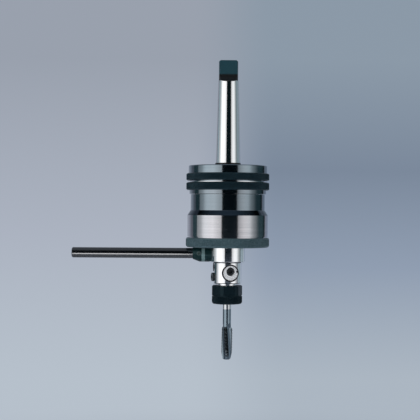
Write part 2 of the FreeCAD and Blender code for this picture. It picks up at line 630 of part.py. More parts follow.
def make_bearing():
    """Ball bearing between the neck of the bell and the waist of the housing."""
    middle = (Z_BEARING_TOP + Z_BEARING_BOTTOM) / 2
    groove = Part.makeTorus(BALL_CIRCLE_RADIUS, BALL_RADIUS + RUNNING, FreeCAD.Vector(0, 0, middle))
    inner = ring(BELL_NECK_DIAMETER / 2, INNER_RACE_RADIUS, Z_BEARING_BOTTOM, Z_BEARING_TOP)
    outer = ring(OUTER_RACE_RADIUS, BEARING_DIAMETER / 2, Z_BEARING_BOTTOM, Z_BEARING_TOP)
    save("bearing_inner_race", inner.cut(groove))
    save("bearing_outer_race", outer.cut(groove))
    ball = Part.makeSphere(BALL_RADIUS, FreeCAD.Vector(BALL_CIRCLE_RADIUS, 0, middle))
    pocket = radial(Part.makeCylinder(BALL_RADIUS + 3 * RUNNING, BALL_DIAMETER), INNER_RACE_RADIUS, middle, 0)
    half = CAGE_THICKNESS / 2
    cage = ring(BALL_CIRCLE_RADIUS - half, BALL_CIRCLE_RADIUS + half, middle - CAGE_HEIGHT / 2,
                middle + CAGE_HEIGHT / 2)
    for cutter in around(pocket, BALL_COUNT):
        cage = cage.cut(cutter)
    save("bearing_balls", *around(ball, BALL_COUNT))
    save("bearing_cage", cage)


def make_housing():
    """Stationary housing: waist with the cone, body, knurled bottom ring and the snap ring."""
    bearing = BEARING_DIAMETER / 2
    groove = bearing + SNAP_RING_DEPTH
    z_snap = Z_BEARING_TOP + SNAP_RING_THICKNESS
    lip = OUTER_RACE_RADIUS + BEARING_LIP
    cavity = BELL_RADIUS + LOOSE + HOUSING_SPIGOT_ROOM
    z_lip = Z_PLATE_TOP + LOOSE
    z_spigot = Z_CONE_BOTTOM - HOUSING_SPIGOT_LENGTH
    waist = turned([
        (bearing, Z_WAIST_TOP), (WAIST_DIAMETER / 2, Z_WAIST_TOP), (WAIST_DIAMETER / 2, Z_WAIST_BOTTOM),
        (BODY_DIAMETER / 2, Z_CONE_BOTTOM), (SPIGOT_RADIUS, Z_CONE_BOTTOM),
        (SPIGOT_RADIUS, z_spigot), (cavity, z_spigot),
        (cavity, z_lip), (lip, z_lip), (lip, Z_BEARING_BOTTOM), (bearing, Z_BEARING_BOTTOM),
        (bearing, Z_BEARING_TOP), (groove, Z_BEARING_TOP), (groove, z_snap), (bearing, z_snap),
    ])
    save("housing_waist", waist)
    snap = ring(bearing - SNAP_RING_REACH, groove, Z_BEARING_TOP, z_snap)
    snap = snap.cut(block(SNAP_RING_OPENING, SNAP_RING_OPENING, SNAP_RING_THICKNESS, 0, bearing, Z_BEARING_TOP))
    save("bearing_snap_ring", snap)
    foot = BODY_FOOT
    body = turned([
        (BODY_BORE_RADIUS, Z_BODY_BOTTOM), (BODY_DIAMETER / 2 - foot, Z_BODY_BOTTOM),
        (BODY_DIAMETER / 2 - foot, Z_BODY_BOTTOM + foot), (BODY_DIAMETER / 2, Z_BODY_BOTTOM + foot),
        (BODY_DIAMETER / 2, Z_CONE_BOTTOM), (BODY_BORE_RADIUS, Z_CONE_BOTTOM),
    ])
    save("housing_body", body)
    rim = BOTTOM_RING_DIAMETER / 2
    edge = BOTTOM_RING_EDGE
    z_spigot = Z_BODY_BOTTOM + BOTTOM_SPIGOT_LENGTH
    flange = SLEEVE_FLANGE_DIAMETER / 2
    z_flange = Z_BODY_BOTTOM - SLEEVE_FLANGE_HEIGHT
    bottom = turned([
        (SLEEVE_DIAMETER / 2, Z_RING_BOTTOM), (rim - edge, Z_RING_BOTTOM), (rim, Z_RING_BOTTOM + edge),
        (rim, Z_BODY_BOTTOM - edge), (rim - edge, Z_BODY_BOTTOM), (SPIGOT_RADIUS, Z_BODY_BOTTOM),
        (SPIGOT_RADIUS, z_spigot), (SPIGOT_INNER_RADIUS, z_spigot),
        (SPIGOT_INNER_RADIUS, Z_BODY_BOTTOM), (flange, Z_BODY_BOTTOM), (flange, z_flange),
        (SLEEVE_DIAMETER / 2, z_flange),
    ])
    for screw in carrier_screws():
        bottom = bottom.cut(screw)
    save("bottom_ring", bottom)


def carrier_screws():
    """Cap screws that hold the planet carrier on the bottom ring, placed between the planets."""
    head = CARRIER_SCREW_HEAD / 2
    shank = CARRIER_SCREW_DIAMETER / 2
    z_head = Z_CARRIER_TOP - CARRIER_SCREW_HEAD_HEIGHT
    screw = turned([
        (0, z_head - CARRIER_SCREW_LENGTH), (shank, z_head - CARRIER_SCREW_LENGTH), (shank, z_head),
        (head, z_head), (head, Z_CARRIER_TOP), (0, Z_CARRIER_TOP),
    ])
    screw.translate(FreeCAD.Vector(CARRIER_SCREW_CIRCLE / 2, 0, 0))
    return around(screw, PLANET_COUNT, 180 / PLANET_COUNT)


def make_carrier():
    """Planet carrier with the pins, their clips and the plain bush of the sun gear."""
    bush_inner = SUN_JOURNAL_DIAMETER / 2 + RUNNING
    bush_outer = bush_inner + SUN_BUSH_WALL
    carrier = ring(bush_outer, BELL_RADIUS, Z_BODY_BOTTOM, Z_CARRIER_TOP)
    z_pin_end = Z_GEAR_TOP + CLIP_THICKNESS + PIN_END_LENGTH
    pin = rod(PIN_DIAMETER / 2, Z_BODY_BOTTOM, z_pin_end, PLANET_CIRCLE_RADIUS)
    z_clip = Z_GEAR_TOP + LOOSE
    groove_radius = PIN_DIAMETER / 2 - CLIP_GROOVE_DEPTH
    clip = ring(groove_radius, CLIP_DIAMETER / 2, z_clip, z_clip + CLIP_THICKNESS)
    clip.translate(FreeCAD.Vector(PLANET_CIRCLE_RADIUS, 0, 0))
    groove = ring(groove_radius, PIN_DIAMETER, z_clip, z_clip + CLIP_THICKNESS)
    groove.translate(FreeCAD.Vector(PLANET_CIRCLE_RADIUS, 0, 0))
    pins = around(pin.cut(groove), PLANET_COUNT)
    for cutter in around(pin, PLANET_COUNT) + carrier_screws():
        carrier = carrier.cut(cutter)
    save("planet_carrier", carrier)
    save("planet_pins", *pins)
    save("planet_clips", *around(clip, PLANET_COUNT))
    save("carrier_screws", *carrier_screws())
    save("sun_bush", ring(bush_inner, bush_outer, Z_BODY_BOTTOM, Z_CARRIER_TOP))


def make_planets():
    """Planet gears, each with a tooth that points straight out and one that points at the axis."""
    thickness = math.pi * MODULE / 2 - BACKLASH / 2
    gear = gear_block(PLANET_TEETH, DEDENDUM, ADDENDUM, thickness, Z_GEAR_BOTTOM, Z_GEAR_TOP)
    gear = gear.cut(rod(PIN_DIAMETER / 2 + RUNNING, Z_GEAR_BOTTOM, Z_GEAR_TOP))
    gear.translate(FreeCAD.Vector(PLANET_CIRCLE_RADIUS, 0, 0))
    for index, planet in enumerate(around(gear, PLANET_COUNT)):
        save(f"planet_gear_{index + 1}", planet)


def make_sun():
    """Sun gear: teeth in mesh with the planets, journal below, reverse dogs on top."""
    thickness = math.pi * MODULE / 2 - BACKLASH / 2
    gear = gear_block(SUN_TEETH, DEDENDUM, ADDENDUM, thickness, Z_GEAR_BOTTOM, Z_GEAR_TOP)
    gear = turn(gear, 180 / SUN_TEETH)
    gear = gear.fuse(rod(REVERSE_DOG_OUTER / 2, Z_GEAR_BOTTOM, Z_SUN_TOP))
    gear = gear.fuse(rod(SUN_JOURNAL_DIAMETER / 2, Z_BODY_BOTTOM + FACE_RUNNING, Z_GEAR_TOP))
    height = REVERSE_DOG_HEIGHT + DOG_ROOT
    for dog in dogs(REVERSE_DOG_INNER, REVERSE_DOG_OUTER, Z_SUN_TOP - DOG_ROOT, height, 0):
        gear = gear.fuse(dog)
    gear = gear.cut(rod(SUN_BORE / 2, Z_BODY_BOTTOM, Z_SUN_DOG_TOP))
    save("sun_gear", gear)


def make_hub():
    """Dog hub on the spindle with its nut, the return spring, its washer and its nut."""
    seat = HUB_SEAT_DIAMETER / 2
    sleeve = REVERSE_DOG_INNER / 2
    hub = ring(seat, FORWARD_DOG_OUTER / 2, Z_HUB_FLANGE_BOTTOM, Z_HUB_FLANGE_TOP)
    hub = hub.fuse(ring(seat, sleeve, Z_HUB_BOTTOM, Z_HUB_DOG_TOP))
    turn_half = 180 / DOG_COUNT
    z_root = Z_HUB_FLANGE_TOP - DOG_ROOT
    upper = dogs(FORWARD_DOG_INNER, FORWARD_DOG_OUTER, z_root, DOG_HEIGHT + DOG_ROOT, turn_half)
    height = REVERSE_DOG_HEIGHT + DOG_ROOT
    lower = dogs(REVERSE_DOG_INNER - DOG_ROOT, REVERSE_DOG_OUTER, Z_HUB_BOTTOM, height, turn_half)
    for dog in upper + lower:
        hub = hub.fuse(dog)
    save("dog_hub", hub)
    stub = STUB_DIAMETER / 2
    nut = prism(HUB_NUT_FLATS, HUB_NUT_HEIGHT)
    nut.translate(FreeCAD.Vector(0, 0, Z_HUB_DOG_TOP))
    save("hub_nut", nut.cut(rod(stub, Z_HUB_DOG_TOP, Z_HUB_DOG_TOP + HUB_NUT_HEIGHT)))
    outer = SPRING_MEAN_DIAMETER / 2 + SPRING_WIRE
    save("spring_washer", ring(stub, outer, Z_SPRING_TOP, Z_SPRING_WASHER_TOP))
    top_nut = prism(SPRING_NUT_FLATS, SPRING_NUT_HEIGHT)
    top_nut.translate(FreeCAD.Vector(0, 0, Z_SPRING_WASHER_TOP))
    save("spring_nut", top_nut.cut(rod(stub, Z_SPRING_WASHER_TOP, Z_STUB_TOP)))
    save("return_spring", coil_spring())


def coil_spring():
    """Coil spring between its seat and its washer."""
    radius = SPRING_MEAN_DIAMETER / 2
    height = SPRING_LENGTH - SPRING_WIRE
    path = Part.Wire(Part.makeHelix(height / SPRING_TURNS, height, radius))
    section = Part.Wire(Part.makeCircle(SPRING_WIRE / 2, FreeCAD.Vector(radius, 0, 0), FreeCAD.Vector(0, 1, 0)))
    coil = path.makePipeShell([section], True, True)
    coil.translate(FreeCAD.Vector(0, 0, Z_SPRING_SEAT + SPRING_WIRE / 2))
    return coil


def jaw_room(degrees):
    """What the jaw, its screw and its bushing need cut out of the nose, on one side."""
    width = JAW_WIDTH + 2 * JAW_ROOM
    height = JAW_HEIGHT + 2 * JAW_ROOM
    guide = block(JAW_GUIDE_RADIUS, width, height, JAW_GUIDE_RADIUS / 2, 0, Z_JAWS - height / 2)
    depth = NOSE_DIAMETER
    hole = radial(Part.makeCylinder(BUSHING_DIAMETER / 2, depth), JAW_GUIDE_RADIUS, Z_BUSHINGS, 0)
    pocket = radial(Part.makeCylinder(POCKET_DIAMETER / 2, depth), POCKET_FLOOR_RADIUS, Z_BUSHINGS, 0)
    screw_start = TAP_SQUARE / 2 + JAW_DEPTH - JAW_ROOM
    screw = Part.makeCylinder(JAW_SCREW_DIAMETER / 2 + JAW_ROOM, depth)
    screw = radial(screw, screw_start, Z_JAWS, 0)
    return turn(guide.fuse(hole).fuse(pocket).fuse(screw), degrees)


def side_screw(z, face_radius):
    """Black socket screw in the side of the nose, across the jaws."""
    shank = Part.makeCylinder(SIDE_SCREW_DIAMETER / 2, face_radius - SIDE_SCREW_POINT_RADIUS)
    socket = prism(SIDE_SCREW_SOCKET, SIDE_SCREW_SOCKET_DEPTH + OVERRUN)
    socket.translate(FreeCAD.Vector(0, 0, face_radius - SIDE_SCREW_POINT_RADIUS - SIDE_SCREW_SOCKET_DEPTH))
    return radial(shank.cut(socket), SIDE_SCREW_POINT_RADIUS, z, FRONT - 90)


def side_screw_hole(z):
    """Hole of a side screw."""
    drill = Part.makeCylinder(SIDE_SCREW_DIAMETER / 2, NOSE_DIAMETER)
    return radial(drill, SIDE_SCREW_POINT_RADIUS, z, FRONT - 90)


def make_spindle():
    """Spindle: stub, hub seat, quill, nose with the cross holes, threaded neck with the collet cone."""
    stub = STUB_DIAMETER / 2
    seat = HUB_SEAT_DIAMETER / 2
    upper = UPPER_QUILL_DIAMETER / 2
    quill = QUILL_DIAMETER / 2
    nose = NOSE_DIAMETER / 2
    neck = NOSE_NECK_DIAMETER / 2
    bore = COLLET_CONE_TOP / 2
    tap_bore = TAP_SHANK_DIAMETER / 2 + LOOSE
    z_step = Z_BODY_BOTTOM - LOOSE
    edge = NOSE_EDGE
    z_cone_top = Z_NECK_END + COLLET_CONE_LENGTH
    z_bore_top = Z_TAP_TOP + OVERRUN
    spindle = turned([
        (0, Z_STUB_TOP), (stub, Z_STUB_TOP), (stub, Z_HUB_DOG_TOP), (seat, Z_HUB_DOG_TOP),
        (seat, Z_HUB_BOTTOM), (upper, Z_HUB_BOTTOM), (upper, z_step), (quill, z_step), (quill, Z_NOSE_TOP),
        (nose - edge, Z_NOSE_TOP), (nose, Z_NOSE_TOP - edge), (nose, Z_NOSE_BOTTOM + edge),
        (nose - edge, Z_NOSE_BOTTOM), (neck, Z_NOSE_BOTTOM), (neck, Z_NECK_END),
        (COLLET_CONE_MOUTH / 2, Z_NECK_END), (bore, z_cone_top), (tap_bore, z_cone_top),
        (tap_bore, z_bore_top), (0, z_bore_top),
    ])
    for degrees in (FRONT, BACK):
        spindle = spindle.cut(jaw_room(degrees))
    for z in (Z_UPPER_SIDE_SCREW, Z_LOWER_SIDE_SCREW):
        spindle = spindle.cut(side_screw_hole(z))
    save("spindle", spindle)
    save("side_screw_upper", side_screw(Z_UPPER_SIDE_SCREW, NOSE_DIAMETER / 2 - SIDE_SCREW_SUNK))
    save("side_screw_lower", side_screw(Z_LOWER_SIDE_SCREW, NOSE_DIAMETER / 2 + SIDE_SCREW_PROUD))


def make_jaws():
    """Jaws on two flats of the tap square, their screws, the eccentric bushings and their snap rings."""
    start = TAP_SQUARE / 2 + FACE_RUNNING / 2
    screw_start = start + JAW_DEPTH
    jaw = block(JAW_DEPTH, JAW_WIDTH, JAW_HEIGHT, start + JAW_DEPTH / 2, 0, Z_JAWS - JAW_HEIGHT / 2)
    screw = Part.makeCylinder(JAW_SCREW_DIAMETER / 2, JAW_SCREW_LENGTH)
    socket = prism(JAW_SCREW_SOCKET, JAW_SCREW_SOCKET_DEPTH + OVERRUN)
    socket.translate(FreeCAD.Vector(0, 0, JAW_SCREW_LENGTH - JAW_SCREW_SOCKET_DEPTH))
    screw = radial(screw.cut(socket), screw_start + FACE_RUNNING, Z_JAWS, 0)
    length = BUSHING_FACE_RADIUS - JAW_GUIDE_RADIUS
    bushing = Part.makeCylinder(BUSHING_DIAMETER / 2, length)
    bushing = radial(bushing, JAW_GUIDE_RADIUS, Z_BUSHINGS, 0)
    hole = Part.makeCylinder(JAW_SCREW_DIAMETER / 2 + RUNNING, NOSE_DIAMETER)
    bushing = bushing.cut(radial(hole, screw_start, Z_JAWS, 0))
    notch_depth = BUSHING_FACE_RADIUS - POCKET_FLOOR_RADIUS
    notch = block(notch_depth, 2 * BUSHING_NOTCH_DEPTH, BUSHING_NOTCH_WIDTH,
                  BUSHING_FACE_RADIUS - notch_depth / 2, BUSHING_DIAMETER / 2, Z_JAWS - BUSHING_NOTCH_WIDTH / 2)
    bushing = bushing.cut(notch)
    snap = Part.makeCylinder(POCKET_DIAMETER / 2, notch_depth - BUSHING_SNAP_RING_SINK)
    snap = snap.cut(Part.makeCylinder(BUSHING_DIAMETER / 2, notch_depth))
    snap = radial(snap, POCKET_FLOOR_RADIUS, Z_BUSHINGS, 0)
    for name, degrees in (("front", FRONT), ("back", BACK)):
        save(f"jaw_{name}", turn(jaw, degrees))
        save(f"jaw_screw_{name}", turn(screw, degrees))
    save("jaw_bushings", turn(bushing, FRONT), turn(bushing, BACK))
    save("bushing_snap_rings", turn(snap, FRONT), turn(snap, BACK))


def make_nose_sleeve():
    """Chrome sleeve under the bottom ring, with the plain bush and the seal of the spindle inside."""
    outer = SLEEVE_DIAMETER / 2
    bore = SLEEVE_BORE / 2
    flange = SLEEVE_FLANGE_DIAMETER / 2
    z_flange = Z_BODY_BOTTOM - SLEEVE_FLANGE_HEIGHT
    edge = SLEEVE_EDGE
    sleeve = turned([
        (bore, Z_SLEEVE_BOTTOM), (outer - edge, Z_SLEEVE_BOTTOM), (outer, Z_SLEEVE_BOTTOM + edge),
        (outer, z_flange), (flange, z_flange), (flange, Z_BODY_BOTTOM), (bore, Z_BODY_BOTTOM),
    ])
    hole = Part.makeCylinder(BOSS_SPIGOT_DIAMETER / 2, SLEEVE_DIAMETER)
    save("nose_sleeve", sleeve.cut(radial(hole, 0, Z_ROD, 180)))
    z_seal = Z_SLEEVE_BOTTOM + SEAL_HEIGHT
    inner = QUILL_DIAMETER / 2 + RUNNING
    save("spindle_seal", ring(inner, bore, Z_SLEEVE_BOTTOM, z_seal))
    save("spindle_bush", ring(inner, bore, z_seal, z_seal + BUSH_LENGTH))


def make_stop_arm():
    """Boss in the nose sleeve under the bottom ring, its set screw and the stop rod."""
    sleeve = SLEEVE_DIAMETER / 2
    bore = SLEEVE_BORE / 2
    full = BOSS_DIAMETER / 2
    length = BOSS_END_RADIUS - bore
    cone_start = length - BOSS_CONE_LENGTH
    boss = turned([(0, 0), (full, 0), (full, cone_start), (BOSS_TIP_DIAMETER / 2, length), (0, length)])
    boss = radial(boss, bore, Z_ROD, 180)
    boss = boss.cut(rod(sleeve, Z_SLEEVE_BOTTOM - BOSS_DIAMETER, Z_RING_BOTTOM + BOSS_DIAMETER))
    spigot = radial(Part.makeCylinder(BOSS_SPIGOT_DIAMETER / 2, ROD_START_RADIUS - LOOSE), 0, Z_ROD, 180)
    spigot = spigot.cut(rod(bore, Z_SLEEVE_BOTTOM - BOSS_DIAMETER, Z_RING_BOTTOM + BOSS_DIAMETER))
    boss = boss.fuse(spigot)
    boss = boss.common(block(2 * BOSS_END_RADIUS, 2 * BOSS_DIAMETER, 2 * BOSS_DIAMETER, -BOSS_END_RADIUS, 0,
                             Z_RING_BOTTOM - 2 * BOSS_DIAMETER))
    seat = ROD_SEAT_DIAMETER / 2
    socket = Part.makeCylinder(seat + RUNNING, BOSS_END_RADIUS)
    boss = boss.cut(radial(socket, ROD_START_RADIUS - LOOSE, Z_ROD, 180))
    slope = (full - BOSS_TIP_DIAMETER / 2) / BOSS_CONE_LENGTH
    surface = full - max(0, ARM_SCREW_RADIUS - (BOSS_END_RADIUS - BOSS_CONE_LENGTH)) * slope
    screw_length = surface - ARM_SCREW_SINK - seat - RUNNING
    start = FreeCAD.Vector(-ARM_SCREW_RADIUS, -seat - RUNNING, Z_ROD)
    toward = FreeCAD.Vector(0, -1, 0)
    boss = boss.cut(Part.makeCylinder(ARM_SCREW_DIAMETER / 2, full, start, toward))
    save("arm_boss", boss)
    screw = Part.makeCylinder(ARM_SCREW_DIAMETER / 2, screw_length)
    hexagon = prism(ARM_SCREW_SOCKET, screw_length)
    hexagon.translate(FreeCAD.Vector(0, 0, screw_length / 2))
    screw = screw.cut(hexagon)
    screw.rotate(ORIGIN, FreeCAD.Vector(1, 0, 0), 90)
    screw.translate(start)
    save("arm_set_screw", screw)
    thick = ROD_DIAMETER / 2
    shoulder = BOSS_END_RADIUS + FACE_RUNNING
    bar = turned([
        (0, ROD_START_RADIUS), (seat, ROD_START_RADIUS), (seat, shoulder), (thick, shoulder),
        (thick, ROD_END_RADIUS - ROD_CHAMFER), (thick - ROD_CHAMFER, ROD_END_RADIUS), (0, ROD_END_RADIUS),
    ])
    save("stop_rod", radial(bar, 0, Z_ROD, 180))


def make_collet():
    """Collet of steel blades set in rubber, held in the spindle cone by the nut."""
    inner = TAP_SHANK_DIAMETER / 2 + RUNNING
    mouth = COLLET_CONE_MOUTH / 2 - RUNNING
    top = COLLET_CONE_TOP / 2 - RUNNING
    z_cone_top = Z_NECK_END + COLLET_CONE_LENGTH - LOOSE
    z_bottom = Z_NECK_END - COLLET_HEAD_LENGTH
    end = NUT_MOUTH / 2 - LOOSE
    collet = turned([
        (inner, z_bottom), (end, z_bottom), (mouth, Z_NECK_END), (top, z_cone_top), (inner, z_cone_top),
    ])
    length = COLLET_CONE_LENGTH + COLLET_HEAD_LENGTH - 2 * BLADE_END_COVER
    blade = block(COLLET_CONE_MOUTH, BLADE_THICKNESS, length, inner + BLADE_COVER + COLLET_CONE_MOUTH / 2, 0,
                  z_bottom + BLADE_END_COVER)
    blades = around(blade, COLLET_BLADES)
    rubber = collet.copy()
    for cutter in blades:
        rubber = rubber.cut(cutter)
    save("collet_rubber", rubber)
    save("collet_blades", *[collet.common(cutter) for cutter in blades])


def make_nut():
    """Collet nut: wrench flats on its upper half, round lower half, thread and closing cone inside."""
    outer = NUT_DIAMETER / 2
    thread = NOSE_NECK_DIAMETER / 2 + RUNNING
    mouth = NUT_MOUTH / 2
    z_bottom = Z_NECK_END - COLLET_HEAD_LENGTH
    nut = turned([
        (mouth, Z_NUT_BOTTOM), (outer - NUT_CHAMFER, Z_NUT_BOTTOM), (outer, Z_NUT_BOTTOM + NUT_CHAMFER),
        (outer, Z_NUT_TOP - NUT_CHAMFER / 2), (outer - NUT_CHAMFER / 2, Z_NUT_TOP), (thread, Z_NUT_TOP),
        (thread, Z_NECK_END - LOOSE), (COLLET_CONE_MOUTH / 2 + LOOSE, Z_NECK_END - LOOSE),
        (mouth, z_bottom),
    ])
    waste = rod(NUT_DIAMETER, Z_NUT_TOP - NUT_FLATS_LENGTH, Z_NUT_TOP + OVERRUN)
    hexagon = prism(NUT_FLATS, NUT_FLATS_LENGTH + OVERRUN)
    hexagon.translate(FreeCAD.Vector(0, 0, Z_NUT_TOP - NUT_FLATS_LENGTH))
    nut = nut.cut(waste.cut(turn(hexagon, NUT_FLATS_TURN)))
    save("collet_nut", nut)


def make_tap():
    """Tap: square at the top, round shank, fluted end with a tapered lead."""
    shank = TAP_SHANK_DIAMETER / 2
    cutting = TAP_THREAD_DIAMETER / 2
    point = TAP_POINT_DIAMETER / 2
    square_bottom = Z_TAP_TOP - TAP_SQUARE_LENGTH
    shoulder = cutting - shank
    body = turned([
        (0, Z_TAP_POINT), (point - TAP_POINT_CHAMFER, Z_TAP_POINT), (point, Z_TAP_POINT + TAP_POINT_CHAMFER),
        (cutting, Z_TAP_POINT + TAP_LEAD_LENGTH), (cutting, Z_THREAD_TOP - shoulder), (shank, Z_THREAD_TOP),
        (shank, Z_TAP_TOP), (0, Z_TAP_TOP),
    ])
    waste = rod(TAP_SHANK_DIAMETER, square_bottom, Z_TAP_TOP + OVERRUN)
    square = block(TAP_SQUARE, TAP_SQUARE, TAP_SQUARE_LENGTH + OVERRUN, 0, 0, square_bottom)
    body = body.cut(waste.cut(turn(square, FRONT)))
    run_out = Z_THREAD_TOP + shank
    sections = []
    for station in range(FLUTE_STATIONS):
        share = station / (FLUTE_STATIONS - 1)
        height = Z_TAP_POINT - OVERRUN + (run_out - Z_TAP_POINT) * share
        centre = FreeCAD.Vector(FLUTE_CENTRE_RADIUS, 0, height)
        circle = Part.Wire(Part.makeCircle(FLUTE_RADIUS, centre))
        circle.rotate(ORIGIN, AXIS, FLUTE_TWIST * share)
        sections.append(circle)
    flute = Part.makeLoft(sections, True)
    for cutter in around(flute, TAP_FLUTES, 45):
        body = body.cut(cutter)
    save("tap", body)


os.makedirs("parts", exist_ok=True)
make_arbor()
make_cap()
make_lock_ring()
make_drum()
make_clutch()
make_bell()
make_bearing()
make_housing()
make_carrier()
make_planets()
make_sun()
make_hub()
make_spindle()
make_jaws()
make_nose_sleeve()
make_stop_arm()
make_collet()
make_nut()
make_tap()
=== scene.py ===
import bpy
import math
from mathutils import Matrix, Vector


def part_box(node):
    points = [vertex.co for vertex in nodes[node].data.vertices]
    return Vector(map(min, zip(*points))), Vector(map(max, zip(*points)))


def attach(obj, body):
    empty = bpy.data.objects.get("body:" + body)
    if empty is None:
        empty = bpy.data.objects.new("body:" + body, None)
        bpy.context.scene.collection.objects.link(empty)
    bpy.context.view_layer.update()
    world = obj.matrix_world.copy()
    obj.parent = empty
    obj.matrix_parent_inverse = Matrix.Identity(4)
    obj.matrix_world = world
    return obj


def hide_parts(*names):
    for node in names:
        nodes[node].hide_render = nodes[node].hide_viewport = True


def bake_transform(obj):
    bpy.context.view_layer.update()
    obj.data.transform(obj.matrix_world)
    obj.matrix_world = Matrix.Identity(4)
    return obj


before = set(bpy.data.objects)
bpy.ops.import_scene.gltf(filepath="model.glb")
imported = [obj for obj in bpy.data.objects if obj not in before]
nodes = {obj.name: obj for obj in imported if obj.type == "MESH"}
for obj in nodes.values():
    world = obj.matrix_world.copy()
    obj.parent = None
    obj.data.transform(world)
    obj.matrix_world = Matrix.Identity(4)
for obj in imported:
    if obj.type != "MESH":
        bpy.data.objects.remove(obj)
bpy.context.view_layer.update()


# The taper shank: a Morse taper ground bright from the collar to the tang. The tang at its top and the
# collar at its foot keep the black skin of hardening. It is turned and ground from one bar of tool steel.
MIX_SHARE, MIX_FIRST, MIX_SECOND, MIX_RESULT = 0, 6, 7, 2


def feed(tree, node, inputs):
    """Fill a node's inputs, each with a plain value or with another node's output."""
    for socket, value in inputs.items():
        if isinstance(value, bpy.types.NodeSocket):
            tree.links.new(value, node.inputs[socket])
        else:
            node.inputs[socket].default_value = value


def put(tree, kind, output, inputs, **settings):
    """Add a node with these inputs and settings, and hand back one of its outputs."""
    node = tree.nodes.new(kind)
    for word, value in settings.items():
        setattr(node, word, value)
    feed(tree, node, inputs)
    return node.outputs[output]


def worked(tree, operation, first, second=0.0):
    """Number worked out of one or two others."""
    return put(tree, "ShaderNodeMath", "Value", {0: first, 1: second}, operation=operation)


def ranged(tree, value, first, last, low=0.0, high=1.0, course="LINEAR"):
    """Number that goes from low to high while another goes from first to last."""
    return put(tree, "ShaderNodeMapRange", "Result", {
        "Value": value, "From Min": first, "From Max": last, "To Min": low, "To Max": high,
    }, interpolation_type=course)


def mixed(tree, share, first, second):
    """Tone between two others: a share of 0 gives the first and 1 gives the second."""
    return put(tree, "ShaderNodeMix", MIX_RESULT, {MIX_SHARE: share, MIX_FIRST: first, MIX_SECOND: second},
               data_type="RGBA")


def toned(tree, share, stops):
    """Tone read from a ramp. A stop is a place on the ramp and the tone there."""
    node = tree.nodes.new("ShaderNodeValToRGB")
    elements = node.color_ramp.elements
    while len(elements) < len(stops):
        elements.new(0.5)
    for element, (position, tone) in zip(elements, stops):
        element.position = position
        element.color = (*tone, 1)
    feed(tree, node, {"Fac": share})
    return node.outputs["Color"]


def object_place(tree):
    """Place of a point in its object."""
    return put(tree, "ShaderNodeTexCoord", "Object", {})


def place_on(tree, axis):
    """Place of a point on one axis of its object."""
    return put(tree, "ShaderNodeSeparateXYZ", axis, {"Vector": object_place(tree)})


def turning_marks(tree, rings, depth, mottle=6.0):
    """Fine rings left round the axis by the lathe or the grinding wheel: their grain and their bump."""
    stretched = put(tree, "ShaderNodeMapping", "Vector", {
        "Vector": object_place(tree), "Scale": (mottle, mottle, rings)})
    grain = put(tree, "ShaderNodeTexNoise", "Fac", {"Vector": stretched, "Scale": 1.0, "Detail": 3.0})
    bump = put(tree, "ShaderNodeBump", "Normal", {"Height": grain, "Distance": depth, "Strength": 0.5})
    return grain, bump


def shade_range(tree, grain, dark, light):
    """Two shades of one finish, laid out by a grain texture."""
    return toned(tree, grain, ((0.3, dark), (0.7, light)))


def blank_finish(name):
    """New finish with its node tree and its shader."""
    finish = bpy.data.materials.new(name)
    finish.use_nodes = True
    return finish, finish.node_tree, finish.node_tree.nodes["Principled BSDF"]


def ground_steel(name, dark, light, roughness, rings=2600.0, depth=0.000004):
    """Bright metal with grinding or turning rings round the axis."""
    finish, tree, shader = blank_finish(name)
    grain, bump = turning_marks(tree, rings, depth)
    feed(tree, shader, {"Metallic": 1.0, "Roughness": roughness, "Normal": bump,
                        "Base Color": shade_range(tree, grain, dark, light)})
    return finish


def blackened_steel(name, dark, light, roughness, grain_size=900.0, depth=0.00001, index=1.52,
                    sheen=(1.0, 1.0, 1.0)):
    """Blued and oiled steel: a dark skin with a faint mottle, glossier with a higher index."""
    finish, tree, shader = blank_finish(name)
    grain, bump = turning_marks(tree, grain_size, depth, grain_size)
    feed(tree, shader, {"Roughness": roughness, "IOR": index, "Specular Tint": (*sheen, 1), "Normal": bump,
                        "Base Color": shade_range(tree, grain, dark, light)})
    return finish


def give(finish, *names):
    """Dress parts that keep their machined shape."""
    for name in names:
        for holder in nodes[name].material_slots:
            holder.material = finish


TANG_SKIN_FROM = 0.0742
RUNOUT_TO = 0.0800
TANG_FACE_FROM = 0.0812
COLLAR_SKIN_TO = -0.00497
RUNOUT_TONE = (0.002, 0.004, 0.005, 1)
TAPER_ROUGHNESS = 0.10
SKIN_ROUGHNESS = 0.42

shank_finish, tree, shader = blank_finish("ground_taper")
grain, bump = turning_marks(tree, rings=2600.0, depth=0.000002)
bright = shade_range(tree, grain, (0.80, 0.81, 0.83), (0.92, 0.92, 0.93))
black = shade_range(tree, grain, (0.006, 0.048, 0.068), (0.016, 0.078, 0.100))
height = place_on(tree, "Z")
tang_tone = mixed(tree, ranged(tree, height, RUNOUT_TO, TANG_FACE_FROM), RUNOUT_TONE, black)
is_skin = worked(tree, "MAXIMUM", worked(tree, "GREATER_THAN", height, TANG_SKIN_FROM),
                 worked(tree, "LESS_THAN", height, COLLAR_SKIN_TO))
feed(tree, shader, {
    "Base Color": mixed(tree, is_skin, bright, tang_tone), "Metallic": worked(tree, "SUBTRACT", 1.0, is_skin),
    "Roughness": ranged(tree, is_skin, 0.0, 1.0, TAPER_ROUGHNESS, SKIN_ROUGHNESS), "Normal": bump})
give(shank_finish, "arbor")


# The clutch inside the drum: friction discs, pressed and ground plates, two disc springs, and the bronze
# bush that guides the foot of the shank. The disc springs flatten as the plate above them comes down.
def placed(name, data):
    """New object in the scene."""
    piece = bpy.data.objects.new(name, data)
    bpy.context.scene.collection.objects.link(piece)
    return piece


def round_at(radius):
    """Radius of a round at any angle."""
    return lambda angle: radius


